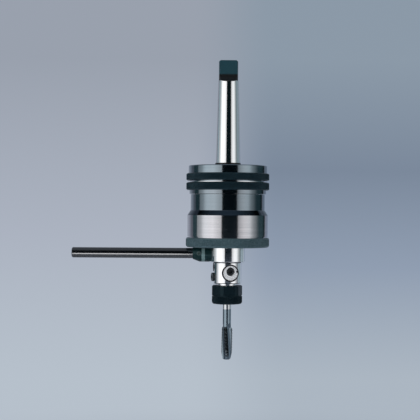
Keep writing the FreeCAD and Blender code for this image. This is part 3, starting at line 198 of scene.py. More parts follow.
def stacked(name, rows, around, closed=False):
    """Mesh made of level loops. A row is a height and a function that gives the radius at an angle."""
    points = []
    for level, radius_at in rows:
        for step in range(around):
            angle = 2 * math.pi * step / around
            radius = radius_at(angle)
            points.append((radius * math.cos(angle), radius * math.sin(angle), level))
    faces = []
    count = len(rows)
    for row in range(count if closed else count - 1):
        low, high = row * around, (row + 1) % count * around
        for step in range(around):
            after = (step + 1) % around
            faces.append((low + step, low + after, high + after, high + step))
    if not closed:
        faces.append(tuple(reversed(range(around))))
        faces.append(tuple((count - 1) * around + step for step in range(around)))
    mesh = bpy.data.meshes.new(name)
    mesh.from_pydata(points, [], faces)
    mesh.validate()
    return placed(name, mesh)


def turned_ring(name, corners, around=192):
    """Turned ring: the corners of its section run up the outside and down the inside."""
    return stacked(name, [(level, round_at(radius)) for radius, level in corners], around, True)


def crisp(piece, degrees=24.0):
    """Smooth shading that keeps real edges sharp."""
    for face in piece.data.polygons:
        face.use_smooth = True
    piece.data.set_sharp_from_angle(angle=math.radians(degrees))


casing_finish = ground_steel("turned_casing", (0.215, 0.265, 0.30), (0.285, 0.34, 0.385), roughness=0.10)
neck_finish = ground_steel("turned_neck", (0.22, 0.255, 0.29), (0.30, 0.34, 0.375), roughness=0.10)
hard_finish = ground_steel("hardened_steel", (0.36, 0.36, 0.38), (0.50, 0.50, 0.52), roughness=0.3)
bronze_finish = ground_steel("bush_bronze", (0.55, 0.34, 0.15), (0.70, 0.47, 0.24), roughness=0.3)
lining_finish = blackened_steel("friction_lining", (0.10, 0.085, 0.07), (0.24, 0.20, 0.16), roughness=0.8)
give(neck_finish, "clutch_drum")
give(hard_finish, "pressure_plate", "spring_plate")
give(bronze_finish, "pilot_bush")
give(lining_finish, "lower_friction_disc", "upper_friction_disc")

DISC_SPRING_HOLE = 0.017
DISC_SPRING_SHEET = 0.0009
DISC_SPRING_SIDES = 96
springs_low, springs_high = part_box("disc_springs")
meeting = (springs_low.z + springs_high.z) / 2
outside = springs_high.x
lower_cone = turned_ring("disc_spring_lower", [
    (outside, springs_low.z), (outside, springs_low.z + DISC_SPRING_SHEET), (DISC_SPRING_HOLE, meeting),
    (DISC_SPRING_HOLE, meeting - DISC_SPRING_SHEET),
], DISC_SPRING_SIDES)
upper_cone = turned_ring("disc_spring_upper", [
    (outside, springs_high.z - DISC_SPRING_SHEET), (outside, springs_high.z),
    (DISC_SPRING_HOLE, meeting + DISC_SPRING_SHEET), (DISC_SPRING_HOLE, meeting),
], DISC_SPRING_SIDES)
for cone in (lower_cone, upper_cone):
    crisp(cone)
    cone.data.materials.append(hard_finish)
    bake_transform(cone)
    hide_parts("disc_springs")


# The drive bell below the drum, with its screws, the ball bearing that carries the housing on its neck and
# the coil spring that lifts the spindle. Hardened steel, bronze cage, polished balls and races.
def empty_tree(name, **inputs):
    """Geometry tree with these named inputs besides the finish, and its two ends."""
    made = bpy.data.node_groups.new(name, "GeometryNodeTree")
    for word, kind in {**inputs, "Finish": "Material"}.items():
        made.interface.new_socket(name=word.replace("_", " "), in_out="INPUT",
                                  socket_type="NodeSocket" + kind)
    made.interface.new_socket(name="Result", in_out="OUTPUT", socket_type="NodeSocketGeometry")
    return made, made.nodes.new("NodeGroupInput"), made.nodes.new("NodeGroupOutput")


def finish_tree(made, begin, end, shape):
    """Make a tree's shape real and give it its finish."""
    real = put(made, "GeometryNodeRealizeInstances", "Geometry", {"Geometry": shape})
    coated = put(made, "GeometryNodeSetMaterial", "Geometry", {
        "Geometry": real, "Material": begin.outputs["Finish"]})
    feed(made, end, {"Result": coated})


def grow(piece, tree, **sizes):
    """Run a geometry tree on a piece with these sizes, and keep the result as its plain mesh."""
    run = piece.modifiers.new(tree.name, "NODES")
    run.node_group = tree
    for socket in tree.interface.items_tree:
        word = socket.name.replace(" ", "_")
        if word in sizes:
            run[socket.identifier] = sizes[word]
    shaped = piece.evaluated_get(bpy.context.evaluated_depsgraph_get())
    result = bpy.data.meshes.new_from_object(shaped)
    piece.modifiers.remove(run)
    piece.data = result
    result.name = piece.name
    crisp(piece)


def coil_tree():
    """Round wire wound in an open coil round the axis, from its seat upwards."""
    made, begin, end = empty_tree("wound_coil", Piece="Geometry", Turns="Float", Mean_Radius="Float",
                                  Rise="Float", Wire_Radius="Float", Seat="Float")
    size = begin.outputs
    wound = put(made, "GeometryNodeCurveSpiral", "Curve", {
        "Resolution": 40, "Reverse": True, "Rotations": size["Turns"], "Height": size["Rise"],
        "Start Radius": size["Mean Radius"], "End Radius": size["Mean Radius"]})
    wire = put(made, "GeometryNodeCurvePrimitiveCircle", "Curve", {
        "Resolution": 12, "Radius": size["Wire Radius"]})
    drawn = put(made, "GeometryNodeCurveToMesh", "Mesh", {
        "Curve": wound, "Profile Curve": wire, "Fill Caps": True})
    lift = put(made, "ShaderNodeCombineXYZ", "Vector", {"Z": size["Seat"]})
    raised = put(made, "GeometryNodeTransform", "Geometry", {"Geometry": drawn, "Translation": lift})
    finish_tree(made, begin, end, raised)
    return made


screw_finish = blackened_steel("blackened_screws", (0.004, 0.007, 0.009), (0.012, 0.018, 0.022),
                               roughness=0.35)
race_finish = ground_steel("bearing_steel", (0.62, 0.62, 0.64), (0.74, 0.74, 0.76), roughness=0.1)
give(hard_finish, "drive_bell", "bearing_spacer")
give(screw_finish, "drum_screws", "bearing_snap_ring")
give(race_finish, "bearing_inner_race", "bearing_outer_race", "bearing_balls")
give(bronze_finish, "bearing_cage")

COIL_TURNS = 3.0
WIRE_RADIUS = 0.0007
coil_low, coil_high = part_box("return_spring")
coil = placed("return_spring_coil", bpy.data.meshes.new("return_spring_coil"))
grow(coil, coil_tree(), Turns=COIL_TURNS, Mean_Radius=coil_high.x - WIRE_RADIUS, Wire_Radius=WIRE_RADIUS,
     Rise=coil_high.z - coil_low.z - 2 * WIRE_RADIUS, Seat=coil_low.z + WIRE_RADIUS, Finish=hard_finish)
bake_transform(coil)
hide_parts("return_spring")


# The top cap: a turned steel disc that closes the drum, with a felt seal round the collar of the shank.
# It screws down with the knurled ring below it and so loads the disc springs.
felt_finish = blackened_steel("pressed_felt", (0.020, 0.022, 0.025), (0.05, 0.052, 0.058), roughness=0.95,
                              grain_size=1500.0, depth=0.00006)
give(casing_finish, "top_cap")
give(felt_finish, "cap_seal")


# The torque setting ring: a blackened steel ring with a diamond knurl for the hand, shrunk on the spigot
# of the cap. The knurl is rolled, so each point of it is a small pyramid.
def knurl_tree():
    """Rows of staggered pyramids on a cylinder, added to the piece they are cut in."""
    made, begin, end = empty_tree("diamond_knurl", Piece="Geometry", Teeth_Around="Int", Rows="Int",
                                  Root_Radius="Float", Tooth_Height="Float", First_Row="Float",
                                  Row_Step="Float", Tooth_Width="Float")
    size = begin.outputs
    around = size["Teeth Around"]
    index = put(made, "GeometryNodeInputIndex", "Index", {})
    row = worked(made, "FLOOR", worked(made, "DIVIDE", worked(made, "ADD", index, 0.5), around))
    column = worked(made, "SUBTRACT", index, worked(made, "MULTIPLY", row, around))
    stagger = worked(made, "MULTIPLY", worked(made, "MODULO", row, 2.0), 0.5)
    step = worked(made, "DIVIDE", 2 * math.pi, around)
    angle = worked(made, "MULTIPLY", worked(made, "ADD", column, stagger), step)
    point = put(made, "ShaderNodeCombineXYZ", "Vector", {
        "X": worked(made, "MULTIPLY", worked(made, "COSINE", angle), size["Root Radius"]),
        "Y": worked(made, "MULTIPLY", worked(made, "SINE", angle), size["Root Radius"]),
        "Z": worked(made, "ADD", size["First Row"], worked(made, "MULTIPLY", row, size["Row Step"]))})
    grid = put(made, "GeometryNodeMeshGrid", "Mesh", {"Vertices X": size["Rows"], "Vertices Y": around})
    spread = put(made, "GeometryNodeSetPosition", "Geometry", {"Geometry": grid, "Position": point})
    tooth = put(made, "GeometryNodeMeshCone", "Mesh", {
        "Vertices": 4, "Radius Top": 0.0, "Radius Bottom": 1.0, "Depth": 1.0}, fill_type="NONE")
    facing = put(made, "ShaderNodeCombineXYZ", "Vector", {
        "X": math.pi / 2, "Z": worked(made, "ADD", angle, math.pi / 2)})
    scale = put(made, "ShaderNodeCombineXYZ", "Vector", {
        "X": worked(made, "MULTIPLY", size["Tooth Width"], 0.5), "Y": size["Row Step"],
        "Z": size["Tooth Height"]})
    teeth = put(made, "GeometryNodeInstanceOnPoints", "Instances", {
        "Points": spread, "Instance": tooth, "Rotation": facing, "Scale": scale})
    both = made.nodes.new("GeometryNodeJoinGeometry")
    for shape in (teeth, size["Piece"]):
        feed(made, both, {"Geometry": shape})
    finish_tree(made, begin, end, both.outputs["Geometry"])
    return made


diamond_knurl = knurl_tree()


def knurled(blank, finish, tip_radius, bottom, top, pitch, depth):
    """Roll a diamond knurl in a turned blank between two heights, and keep the result as a plain mesh."""
    teeth = round(2 * math.pi * tip_radius / pitch)
    rows = max(2, int((top - bottom) / (pitch / 2)) - 1)
    step = (top - bottom) / (rows + 1)
    grow(blank, diamond_knurl, Teeth_Around=teeth, Rows=rows, Root_Radius=tip_radius - depth,
         Tooth_Height=depth, First_Row=bottom + step, Row_Step=step, Tooth_Width=pitch, Finish=finish)


KNURL_DEPTH = 0.00045
KNURL_PITCH = 0.0014
RING_EDGE = 0.0007
KNURL_MARGIN = RING_EDGE * 0.7
DRUM_RADIUS = 0.03505
SPIGOT_RADIUS = 0.0365
SPIGOT_SEAT = 0.002
BLUED_SHEEN = (0.55, 0.88, 1.0)
ring_finish = blackened_steel("knurled_black", (0.003, 0.010, 0.015), (0.009, 0.026, 0.036),
                              roughness=0.33, index=1.45, sheen=BLUED_SHEEN)


def knurled_ring(name, tip_radius, bottom, top, inside):
    """Knurled ring with bevelled edges, and with these corners up and down its inside."""
    root = tip_radius - KNURL_DEPTH
    blank = turned_ring(name, [(root - RING_EDGE, bottom), (root, bottom + RING_EDGE),
                               (root, top - RING_EDGE), (root - RING_EDGE, top), *inside])
    knurled(blank, ring_finish, tip_radius, bottom + KNURL_MARGIN, top - KNURL_MARGIN, KNURL_PITCH,
            KNURL_DEPTH)
    return blank


ring_low, ring_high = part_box("torque_ring")
seat = ring_high.z - SPIGOT_SEAT
torque_blank = knurled_ring("torque_ring_knurled", ring_high.x, ring_low.z, ring_high.z, [
    (SPIGOT_RADIUS, ring_high.z), (SPIGOT_RADIUS, seat), (DRUM_RADIUS, seat), (DRUM_RADIUS, ring_low.z)])
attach(torque_blank, "torque_cap")
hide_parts("torque_ring")


# The lock ring: the same knurled ring on the drum's thread, run up against the bright keyed washer that
# keeps it from turning the torque ring.
washer_finish = ground_steel("polished_washer", (0.70, 0.71, 0.74), (0.82, 0.83, 0.85), roughness=0.14)
give(washer_finish, "lock_washer")
lock_low, lock_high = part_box("lock_ring")
lock_blank = knurled_ring("lock_ring_knurled", ring_high.x, lock_low.z, lock_high.z, [
    (DRUM_RADIUS, lock_high.z), (DRUM_RADIUS, lock_low.z)])
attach(lock_blank, "lock_ring")
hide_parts("lock_ring")


# The housing: a waist with a cone at its foot and a brighter straight body, both turned from steel bar
# and finished with a fine feed. The two screw together below the cone. The cone's darker tone is a
# painted dark reflection of the floor below it.
CONE_TO = -0.0507

body_finish = ground_steel("turned_body", (0.45, 0.45, 0.475), (0.59, 0.58, 0.61), roughness=0.11,
                           rings=1700.0)
waist_finish, tree, shader = blank_finish("turned_waist")
grain, bump = turning_marks(tree, rings=2300.0, depth=0.000004)
waist_tone = shade_range(tree, grain, (0.215, 0.26, 0.29), (0.285, 0.33, 0.375))
# Painted dark reflection: below CONE_TO the waist's steel gets this darker tone in place of its own.
cone_painted_reflection = shade_range(tree, grain, (0.040, 0.062, 0.085), (0.070, 0.100, 0.130))
is_cone = worked(tree, "LESS_THAN", place_on(tree, "Z"), CONE_TO)
feed(tree, shader, {"Metallic": 1.0, "Roughness": 0.11, "Normal": bump,
                    "Base Color": mixed(tree, is_cone, waist_tone, cone_painted_reflection)})
give(waist_finish, "housing_waist")
give(body_finish, "housing_body")


# The bottom ring: blackened steel with a finer knurl and well rounded edges. It closes the housing and
# carries the planet carrier inside and the chrome sleeve below.
QUARTER_TURN = [math.radians(degrees) for degrees in range(0, 91, 15)]


def rounded_foot(radius, level, size):
    """Corners of a rounded lower edge, from its foot up to the full radius."""
    return [(radius - size + size * math.sin(lean), level + size - size * math.cos(lean))
            for lean in QUARTER_TURN]


def rounded_head(radius, level, size):
    """Corners of a rounded upper edge, from the full radius up to its head."""
    return [(radius - size + size * math.cos(lean), level - size + size * math.sin(lean))
            for lean in QUARTER_TURN]


FINE_KNURL_DEPTH = 0.0003
FINE_KNURL_PITCH = 0.0011
RIM_ROUNDING = 0.0016
RIM_MARGIN = RIM_ROUNDING * 0.8
BODY_BORE = 0.03545
SPIGOT_INSIDE = 0.03305
FLANGE_RADIUS = 0.021
FLANGE_THICKNESS = 0.0025
low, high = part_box("bottom_ring")
rim = high.x
rim_root = rim - FINE_KNURL_DEPTH
body_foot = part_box("housing_body")[0].z
sleeve_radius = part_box("nose_sleeve")[1].x
flange_low = body_foot - FLANGE_THICKNESS
bottom_blank = turned_ring("bottom_ring_knurled", [
    *rounded_foot(rim_root, low.z, RIM_ROUNDING), *rounded_head(rim_root, body_foot, RIM_ROUNDING),
    (BODY_BORE, body_foot), (BODY_BORE, high.z), (SPIGOT_INSIDE, high.z), (SPIGOT_INSIDE, body_foot),
    (FLANGE_RADIUS, body_foot), (FLANGE_RADIUS, flange_low), (sleeve_radius, flange_low),
    (sleeve_radius, low.z),
])
bottom_finish = blackened_steel("bottom_ring_black", (0.044, 0.080, 0.088), (0.104, 0.160, 0.186),
                                roughness=0.40, grain_size=700.0, sheen=BLUED_SHEEN)
knurled(bottom_blank, bottom_finish, rim, low.z + RIM_MARGIN, body_foot - RIM_MARGIN, FINE_KNURL_PITCH,
        FINE_KNURL_DEPTH)
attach(bottom_blank, "housing")
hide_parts("bottom_ring")


# The reversing gears inside the body: three planets on pins between the toothed bell and the sun gear,
# cut in case-hardened steel, with clips, cap screws and a bronze bush.
gear_finish = ground_steel("cut_gears", (0.30, 0.30, 0.32), (0.46, 0.46, 0.48), roughness=0.34)
give(gear_finish, "planet_carrier", "planet_gear_1", "planet_gear_2", "planet_gear_3", "sun_gear", "dog_hub",
     "spring_washer")
give(race_finish, "planet_pins")
give(screw_finish, "planet_clips", "carrier_screws", "hub_nut", "spring_nut")
give(bronze_finish, "sun_bush", "spindle_bush")


# The nose sleeve: a polished, chromed tube pressed in the bottom ring, with the wiper seal of the spindle
# in its mouth.
CHROME = {"dark": (0.82, 0.83, 0.84), "light": (0.91, 0.91, 0.92), "roughness": 0.07, "rings": 1200.0,
          "depth": 0.000002}

chrome_finish = ground_steel("polished_chrome", **CHROME)
rubber_finish = blackened_steel("moulded_rubber", (0.008, 0.008, 0.009), (0.020, 0.020, 0.022), roughness=0.6)
give(chrome_finish, "nose_sleeve")
give(rubber_finish, "spindle_seal")


# The stop arm: a blackened boss screwed in the sleeve, a small socket screw in its cone and the long
# blackened rod that keeps the housing from turning. A pale band across the boss is a painted highlight.
def banded(finish, axis, first, last, tone):
    """Give a finish another tone between two places on an axis, here a painted highlight or a painted shade.
    """
    tree = finish.node_tree
    colour = tree.nodes["Principled BSDF"].inputs["Base Color"]
    skin = colour.links[0].from_socket
    place = place_on(tree, axis)
    is_band = worked(tree, "MULTIPLY", worked(tree, "GREATER_THAN", place, first),
                     worked(tree, "LESS_THAN", place, last))
    tree.links.new(mixed(tree, is_band, skin, tone), colour)


ARM_HIGHLIGHT_FROM = -0.0248
ARM_HIGHLIGHT_TO = -0.0216
ARM_PAINTED_HIGHLIGHT = (0.20, 0.30, 0.295, 1)

arm_finish = blackened_steel("arm_black", (0.003, 0.015, 0.015), (0.012, 0.038, 0.037), roughness=0.3,
                             grain_size=1200.0, index=1.36, sheen=BLUED_SHEEN)
# Painted highlight: a pale band across the boss between two places on X.
banded(arm_finish, "X", ARM_HIGHLIGHT_FROM, ARM_HIGHLIGHT_TO, ARM_PAINTED_HIGHLIGHT)
set_screw_finish = blackened_steel("set_screw_black", (0.05, 0.09, 0.09), (0.10, 0.16, 0.16), roughness=0.35)
rod_finish = blackened_steel("rod_black", (0.001, 0.001, 0.002), (0.003, 0.003, 0.005), roughness=0.12,
                             grain_size=1400.0, depth=0.000003, index=2.3)
give(arm_finish, "arm_boss")
give(set_screw_finish, "arm_set_screw")
give(rod_finish, "stop_rod")


# The spindle: a chromed quill and nose with flat-floored cross holes, and a threaded neck for the nut,
# its chrome darker there as painted shade between the nose and the nut. Eccentric bushings, their snap
# rings and black socket screws press two jaws on the tap's square. The bushings' near-white matte is a
# painted reflection, and the snap rings' near-black partly stands for the shade in the trench round each
# bushing.
NECK_FROM = -0.1400
NECK_TO = -0.12535
NECK_PAINTED_SHADE = (0.36, 0.37, 0.39, 1)

spindle_finish = ground_steel("chromed_spindle", **CHROME)
# Painted shade: the neck between NECK_FROM and NECK_TO gets a darker chrome.
banded(spindle_finish, "Z", NECK_FROM, NECK_TO, NECK_PAINTED_SHADE)
# Painted reflection: the steel bushings get a near-white matte tone that stands for the bright reflection on
# their polished faces.
bushing_painted_reflection = ground_steel("ground_bushing", (0.94, 0.94, 0.95), (1.0, 1.0, 1.0), roughness=0.45,
                              rings=1500.0, depth=0.000008)
bushing_painted_reflection.node_tree.nodes["Principled BSDF"].inputs["Metallic"].default_value = 0.0
# Blackened steel rings whose near-black also stands for painted shade in the trench round each bushing.
snap_black_and_shade = blackened_steel("snap_ring_black", (0.001, 0.002, 0.003), (0.004, 0.005, 0.006), roughness=0.5)
give(spindle_finish, "spindle")
give(bushing_painted_reflection, "jaw_bushings")
give(snap_black_and_shade, "bushing_snap_rings")
give(screw_finish, "jaw_screw_front", "jaw_screw_back", "side_screw_upper", "side_screw_lower")
give(hard_finish, "jaw_front", "jaw_back")


# The collet: hard steel blades moulded in black rubber, squeezed in the cone of the spindle by the nut.
# The rubber holds the blades apart, so they close evenly on the shank of the tap.
give(rubber_finish, "collet_rubber")
give(hard_finish, "collet_blades")


# The collet nut: blackened steel, hexagonal above for a wrench and knurled below for the hand, with a
# rounded foot and a groove between the two. It screws on the neck of the spindle.
NUT_RADIUS = 0.01465
NUT_FLAT = 0.0135
NUT_FLATS_TURN = math.radians(10.0)
NUT_FLATS_LENGTH = 0.0095
NUT_KNURL_DEPTH = 0.0003
NUT_KNURL_PITCH = 0.001
NUT_EDGE = 0.0016
NUT_MARGIN = NUT_EDGE * 0.8
NUT_SIDES = 180
NUT_THREAD = 0.00945
NUT_THREAD_FROM = 0.0105
NUT_MOUTH = 0.0067
NUT_MOUTH_TO = 0.0062
NUT_BEVEL = 0.0011
NUT_BEVEL_HEIGHT = 0.0007
GROOVE_DEPTH = 0.0006
GROOVE_FROM = 0.0009
GROOVE_FLOOR_FROM = 0.0006
GROOVE_FLOOR_TO = 0.0001
nut_low, nut_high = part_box("collet_nut")
flats_foot = nut_high.z - NUT_FLATS_LENGTH
groove_radius = NUT_RADIUS - GROOVE_DEPTH
knurl_root = NUT_RADIUS - NUT_KNURL_DEPTH


def hexagonal(limit):
    """Radius of a hexagon with its corners turned off at a limit."""
    def radius_at(angle):
        lean = (angle - NUT_FLATS_TURN) % (math.pi / 3) - math.pi / 6
        return min(limit, NUT_FLAT / math.cos(lean))
    return radius_at


nut_blank = stacked("collet_nut_knurled", [
    *((level, round_at(radius)) for radius, level in rounded_foot(knurl_root, nut_low.z, NUT_EDGE)),
    (flats_foot - GROOVE_FROM, round_at(knurl_root)),
    (flats_foot - GROOVE_FLOOR_FROM, round_at(groove_radius)),
    (flats_foot - GROOVE_FLOOR_TO, round_at(groove_radius)), (flats_foot, hexagonal(NUT_RADIUS)),
    (nut_high.z - NUT_BEVEL_HEIGHT, hexagonal(NUT_RADIUS)), (nut_high.z, hexagonal(NUT_RADIUS - NUT_BEVEL)),
    (nut_high.z, round_at(NUT_THREAD)), (nut_low.z + NUT_THREAD_FROM, round_at(NUT_THREAD)),
    (nut_low.z + NUT_MOUTH_TO, round_at(NUT_MOUTH)), (nut_low.z, round_at(NUT_MOUTH)),
], NUT_SIDES, True)
nut_finish = blackened_steel("nut_black", (0.002, 0.006, 0.009), (0.006, 0.016, 0.022), roughness=0.36,
                             grain_size=1000.0, index=1.3, sheen=BLUED_SHEEN)
knurled(nut_blank, nut_finish, NUT_RADIUS, nut_low.z + NUT_MARGIN, flats_foot - GROOVE_FROM,
        NUT_KNURL_PITCH, NUT_KNURL_DEPTH)
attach(nut_blank, "nut")
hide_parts("collet_nut")


# The tap: high-speed steel with a driving square, a ground shank, three twisted flutes and a ground thread
# that tapers at the lead. It hangs in the collet.
THREAD_RADIUS = 0.00555
THREAD_PITCH = 0.0015
THREAD_DEPTH = 0.00075
THREAD_LENGTH = 0.03175
THREAD_RUNOUT = 0.0022
FLANK_SHARE = 1.25
CREST_SHARE = 0.125
ROWS_PER_TURN = 6
SHANK_RADIUS = 0.004
SHANK_EDGE = 0.0004
LEAD_LENGTH = 0.012
POINT_RADIUS = 0.0036
POINT_BEVEL = 0.001
POINT_HEIGHT = 0.0006
SQUARE_HALF = 0.0031
SQUARE_LENGTH = 0.011
SQUARE_TURN = math.radians(-76.0)
SQUARE_BEVEL_HEIGHT = 0.0005
SHOULDER = 0.0001
FLUTES = 3
FLUTE_RADIUS = 0.00532
FLUTE_CENTRE = 0.0082
FLUTE_TWIST = math.radians(-32.0)
FLUTE_TURN = math.radians(-22.0)
RUNOUT_SLOPE = 0.4
RUNOUT_LENGTH = SHANK_RADIUS + 0.0004
RUNOUT_ROWS = 6
TAP_SIDES = 144
TAP_CREASE = 30.0
BRIGHT_FROM = -0.1460
LAND_FROM = 0.0041
LAND_TO = 0.0046
tap_low, tap_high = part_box("tap")
thread_top = tap_low.z + THREAD_LENGTH
flute_length = THREAD_LENGTH + SHANK_RADIUS
square_foot = tap_high.z - SQUARE_LENGTH


def flute_floor(angle, level):
    """Radius at which the flute cutter stops the steel, or a large one between the flutes."""
    share = (level - tap_low.z) / flute_length
    lean = (angle - FLUTE_TURN - FLUTE_TWIST * share) % (2 * math.pi / FLUTES)
    lean = min(lean, 2 * math.pi / FLUTES - lean)
    reach = FLUTE_RADIUS ** 2 - (FLUTE_CENTRE * math.sin(lean)) ** 2
    return FLUTE_CENTRE * math.cos(lean) - math.sqrt(reach) if reach > 0 else THREAD_RADIUS * 2


def threaded(level):
    """Radius of the thread with its lead taper, cut by the flutes."""
    def radius_at(angle):
        phase = ((level - tap_low.z) / THREAD_PITCH - angle / (2 * math.pi)) % 1.0
        crest = THREAD_RADIUS - THREAD_DEPTH * max(0.0, abs(2 * phase - 1) * FLANK_SHARE - CREST_SHARE)
        share = min(1.0, (level - tap_low.z) / LEAD_LENGTH)
        lead = POINT_RADIUS + (THREAD_RADIUS - POINT_RADIUS) * math.sin(share * math.pi / 2)
        return min(crest, lead, flute_floor(angle, level))
    return radius_at


def fluted_shank(level):
    """Radius of the shank where the flutes still run out in it."""
    def radius_at(angle):
        return min(SHANK_RADIUS, flute_floor(angle, level) + (level - thread_top) * RUNOUT_SLOPE)
    return radius_at


def squared(limit):
    """Radius of the driving square with its corners on the round."""
    def radius_at(angle):
        lean = (angle - SQUARE_TURN + math.pi / 4) % (math.pi / 2) - math.pi / 4
        return min(limit, SQUARE_HALF / math.cos(lean))
    return radius_at


thread_rows = int(THREAD_LENGTH / (THREAD_PITCH / ROWS_PER_TURN))
tap_rows = [(tap_low.z, lambda angle: min(POINT_RADIUS - POINT_BEVEL, flute_floor(angle, tap_low.z)))]
for step in range(1, thread_rows):
    level = tap_low.z + POINT_HEIGHT + (THREAD_LENGTH - THREAD_RUNOUT) * step / thread_rows
    tap_rows.append((level, threaded(level)))
for step in range(RUNOUT_ROWS + 1):
    level = thread_top + RUNOUT_LENGTH * step / RUNOUT_ROWS
    tap_rows.append((level, fluted_shank(level)))
tap_rows += [
    (square_foot - SHOULDER, round_at(SHANK_RADIUS)), (square_foot, squared(SHANK_RADIUS)),
    (tap_high.z - SQUARE_BEVEL_HEIGHT, squared(SHANK_RADIUS)),
    (tap_high.z, squared(SHANK_RADIUS - SHANK_EDGE)),
]
tap = stacked("tap_threaded", tap_rows, TAP_SIDES)
crisp(tap, TAP_CREASE)
tap_finish, tree, shader = blank_finish("ground_tap")
grain, bump = turning_marks(tree, rings=1500.0, depth=0.000004, mottle=40.0)
bare_tone = shade_range(tree, grain, (0.52, 0.54, 0.55), (0.66, 0.68, 0.69))
blued_tone = shade_range(tree, grain, (0.17, 0.22, 0.26), (0.25, 0.31, 0.35))
land_tone = shade_range(tree, grain, (0.05, 0.06, 0.07), (0.12, 0.14, 0.15))
is_bare = worked(tree, "GREATER_THAN", place_on(tree, "Z"), BRIGHT_FROM)
flattened = put(tree, "ShaderNodeMapping", "Vector", {"Vector": object_place(tree), "Scale": (1, 1, 0)})
from_axis = put(tree, "ShaderNodeVectorMath", "Value", {0: flattened}, operation="LENGTH")
is_land = ranged(tree, from_axis, LAND_FROM, LAND_TO)
shank_tone = mixed(tree, is_bare, blued_tone, bare_tone)
feed(tree, shader, {"Metallic": 1.0, "Roughness": 0.14, "Normal": bump,
                    "Base Color": mixed(tree, is_land, shank_tone, land_tone)})
tap.data.materials.append(tap_finish)
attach(tap, "tap")
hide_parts("tap")


# The stage: one pale sheet that runs from the floor up behind the object. The camera and polished steel
# see its glow, painted light that is lighter on the left and low down and darker to the right and higher
# up, fading to one open tone far off. Near the object half of the floor's tone is lamplight, so it holds
# the shadow.
FLOOR = -0.42
WALL = 1.7
WALL_LEFT = -3.2
WALL_RIGHT = 1.9
WALL_TOP = 2.6
BEND = 0.6
FLOOR_REACH = 7.0
OPEN_TONE = (0.40, 0.44, 0.52, 1)
TONES_FROM = -0.40
TONES_TO = 0.32
LEFT_TONES_TO = -0.07
RIGHT_TONES_FROM = 0.15
WALL_FROM = FLOOR + 0.06
SHADOW_TO = 0.5
SHADOW_GONE = 1.15
SHADOW_SHARE = 0.5
TONES_FADE_FROM = 1.8
TONES_GONE = 2.7
DIM_AT = 3.0
DIM_STRENGTH = 0.4


def sheet_of_paper():
    """Wide floor with a backdrop that rises from it in one bend, seen from its upper side only."""
    line = [(WALL - BEND, FLOOR)]
    for degrees in range(6, 90, 6):
        lean = math.radians(degrees)
        line.append((WALL - BEND + BEND * math.sin(lean), FLOOR + BEND - BEND * math.cos(lean)))
    line += [(WALL, FLOOR + BEND), (WALL, WALL_TOP)]
    points = [(side, y, z) for y, z in line for side in (WALL_LEFT, WALL_RIGHT)]
    faces = [(2 * i, 2 * i + 1, 2 * i + 3, 2 * i + 2) for i in range(len(line) - 1)]
    first = len(points)
    points += [(-FLOOR_REACH, -FLOOR_REACH, FLOOR), (FLOOR_REACH, -FLOOR_REACH, FLOOR),
               (FLOOR_REACH, WALL - BEND, FLOOR), (-FLOOR_REACH, WALL - BEND, FLOOR)]
    faces.append((first, first + 1, first + 2, first + 3))
    mesh = bpy.data.meshes.new("sweep")
    mesh.from_pydata(points, [], faces)
    for face in mesh.polygons:
        face.use_smooth = True
    return placed("sweep", mesh)


def fade(tree, value, first, last, low=0.0, high=1.0):
    """Smooth change of a number while another goes between two places."""
    return ranged(tree, value, first, last, low, high, "SMOOTHSTEP")


def larger(tree, first, second):
    """The larger of two numbers."""
    return worked(tree, "MAXIMUM", first, second)


def either(tree, share, first, second):
    """Look between two others: a share of 0 gives the first and 1 gives the second."""
    return put(tree, "ShaderNodeMixShader", "Shader", {"Fac": share, 1: first, 2: second})


sweep = sheet_of_paper()
paper, tree, shader = blank_finish("pale_paper")
feed(tree, shader, {"Base Color": (0.78, 0.82, 0.90, 1), "Roughness": 0.9, "Specular IOR Level": 0.1})
plain = shader.outputs["BSDF"]
height = place_on(tree, "Z")
rise = ranged(tree, height, TONES_FROM, TONES_TO)
# Painted light: the glow is lighter on the left and low down, darker to the right and higher up.
left_painted_light = toned(tree, rise, (
    (0.0, (0.47, 0.53, 0.60)), (0.40, (0.41, 0.45, 0.53)), (1.0, (0.32, 0.355, 0.42))))
right_painted_light = toned(tree, rise, (
    (0.0, (0.41, 0.47, 0.54)), (0.30, (0.28, 0.34, 0.44)), (0.62, (0.20, 0.25, 0.33)),
    (1.0, (0.26, 0.32, 0.39))))
across = fade(tree, place_on(tree, "X"), LEFT_TONES_TO, RIGHT_TONES_FROM)
away = put(tree, "ShaderNodeVectorMath", "Value", {0: object_place(tree)}, operation="LENGTH")
far_off = fade(tree, away, TONES_FADE_FROM, TONES_GONE)
tone = mixed(tree, far_off, mixed(tree, across, left_painted_light, right_painted_light), OPEN_TONE)
rays = tree.nodes.new("ShaderNodeLightPath").outputs
by_camera = rays["Is Camera Ray"]
strength = larger(tree, by_camera, fade(tree, away, TONES_FADE_FROM, DIM_AT, 1.0, DIM_STRENGTH))
glow = put(tree, "ShaderNodeEmission", "Emission", {"Color": tone, "Strength": strength})
standing = fade(tree, height, FLOOR, WALL_FROM)
fill = worked(tree, "MULTIPLY", by_camera, fade(tree, away, SHADOW_TO, SHADOW_GONE, SHADOW_SHARE, 1.0))
lit = either(tree, larger(tree, standing, fill), plain, glow)
mirrored = larger(tree, rays["Is Glossy Ray"], rays["Is Transmission Ray"])
by_eye = either(tree, larger(tree, by_camera, mirrored), plain, lit)
behind = put(tree, "ShaderNodeNewGeometry", "Backfacing", {})
clear = put(tree, "ShaderNodeBsdfTransparent", "BSDF", {})
feed(tree, tree.nodes["Material Output"], {"Surface": either(tree, behind, by_eye, clear)})
sweep.data.materials.append(paper)


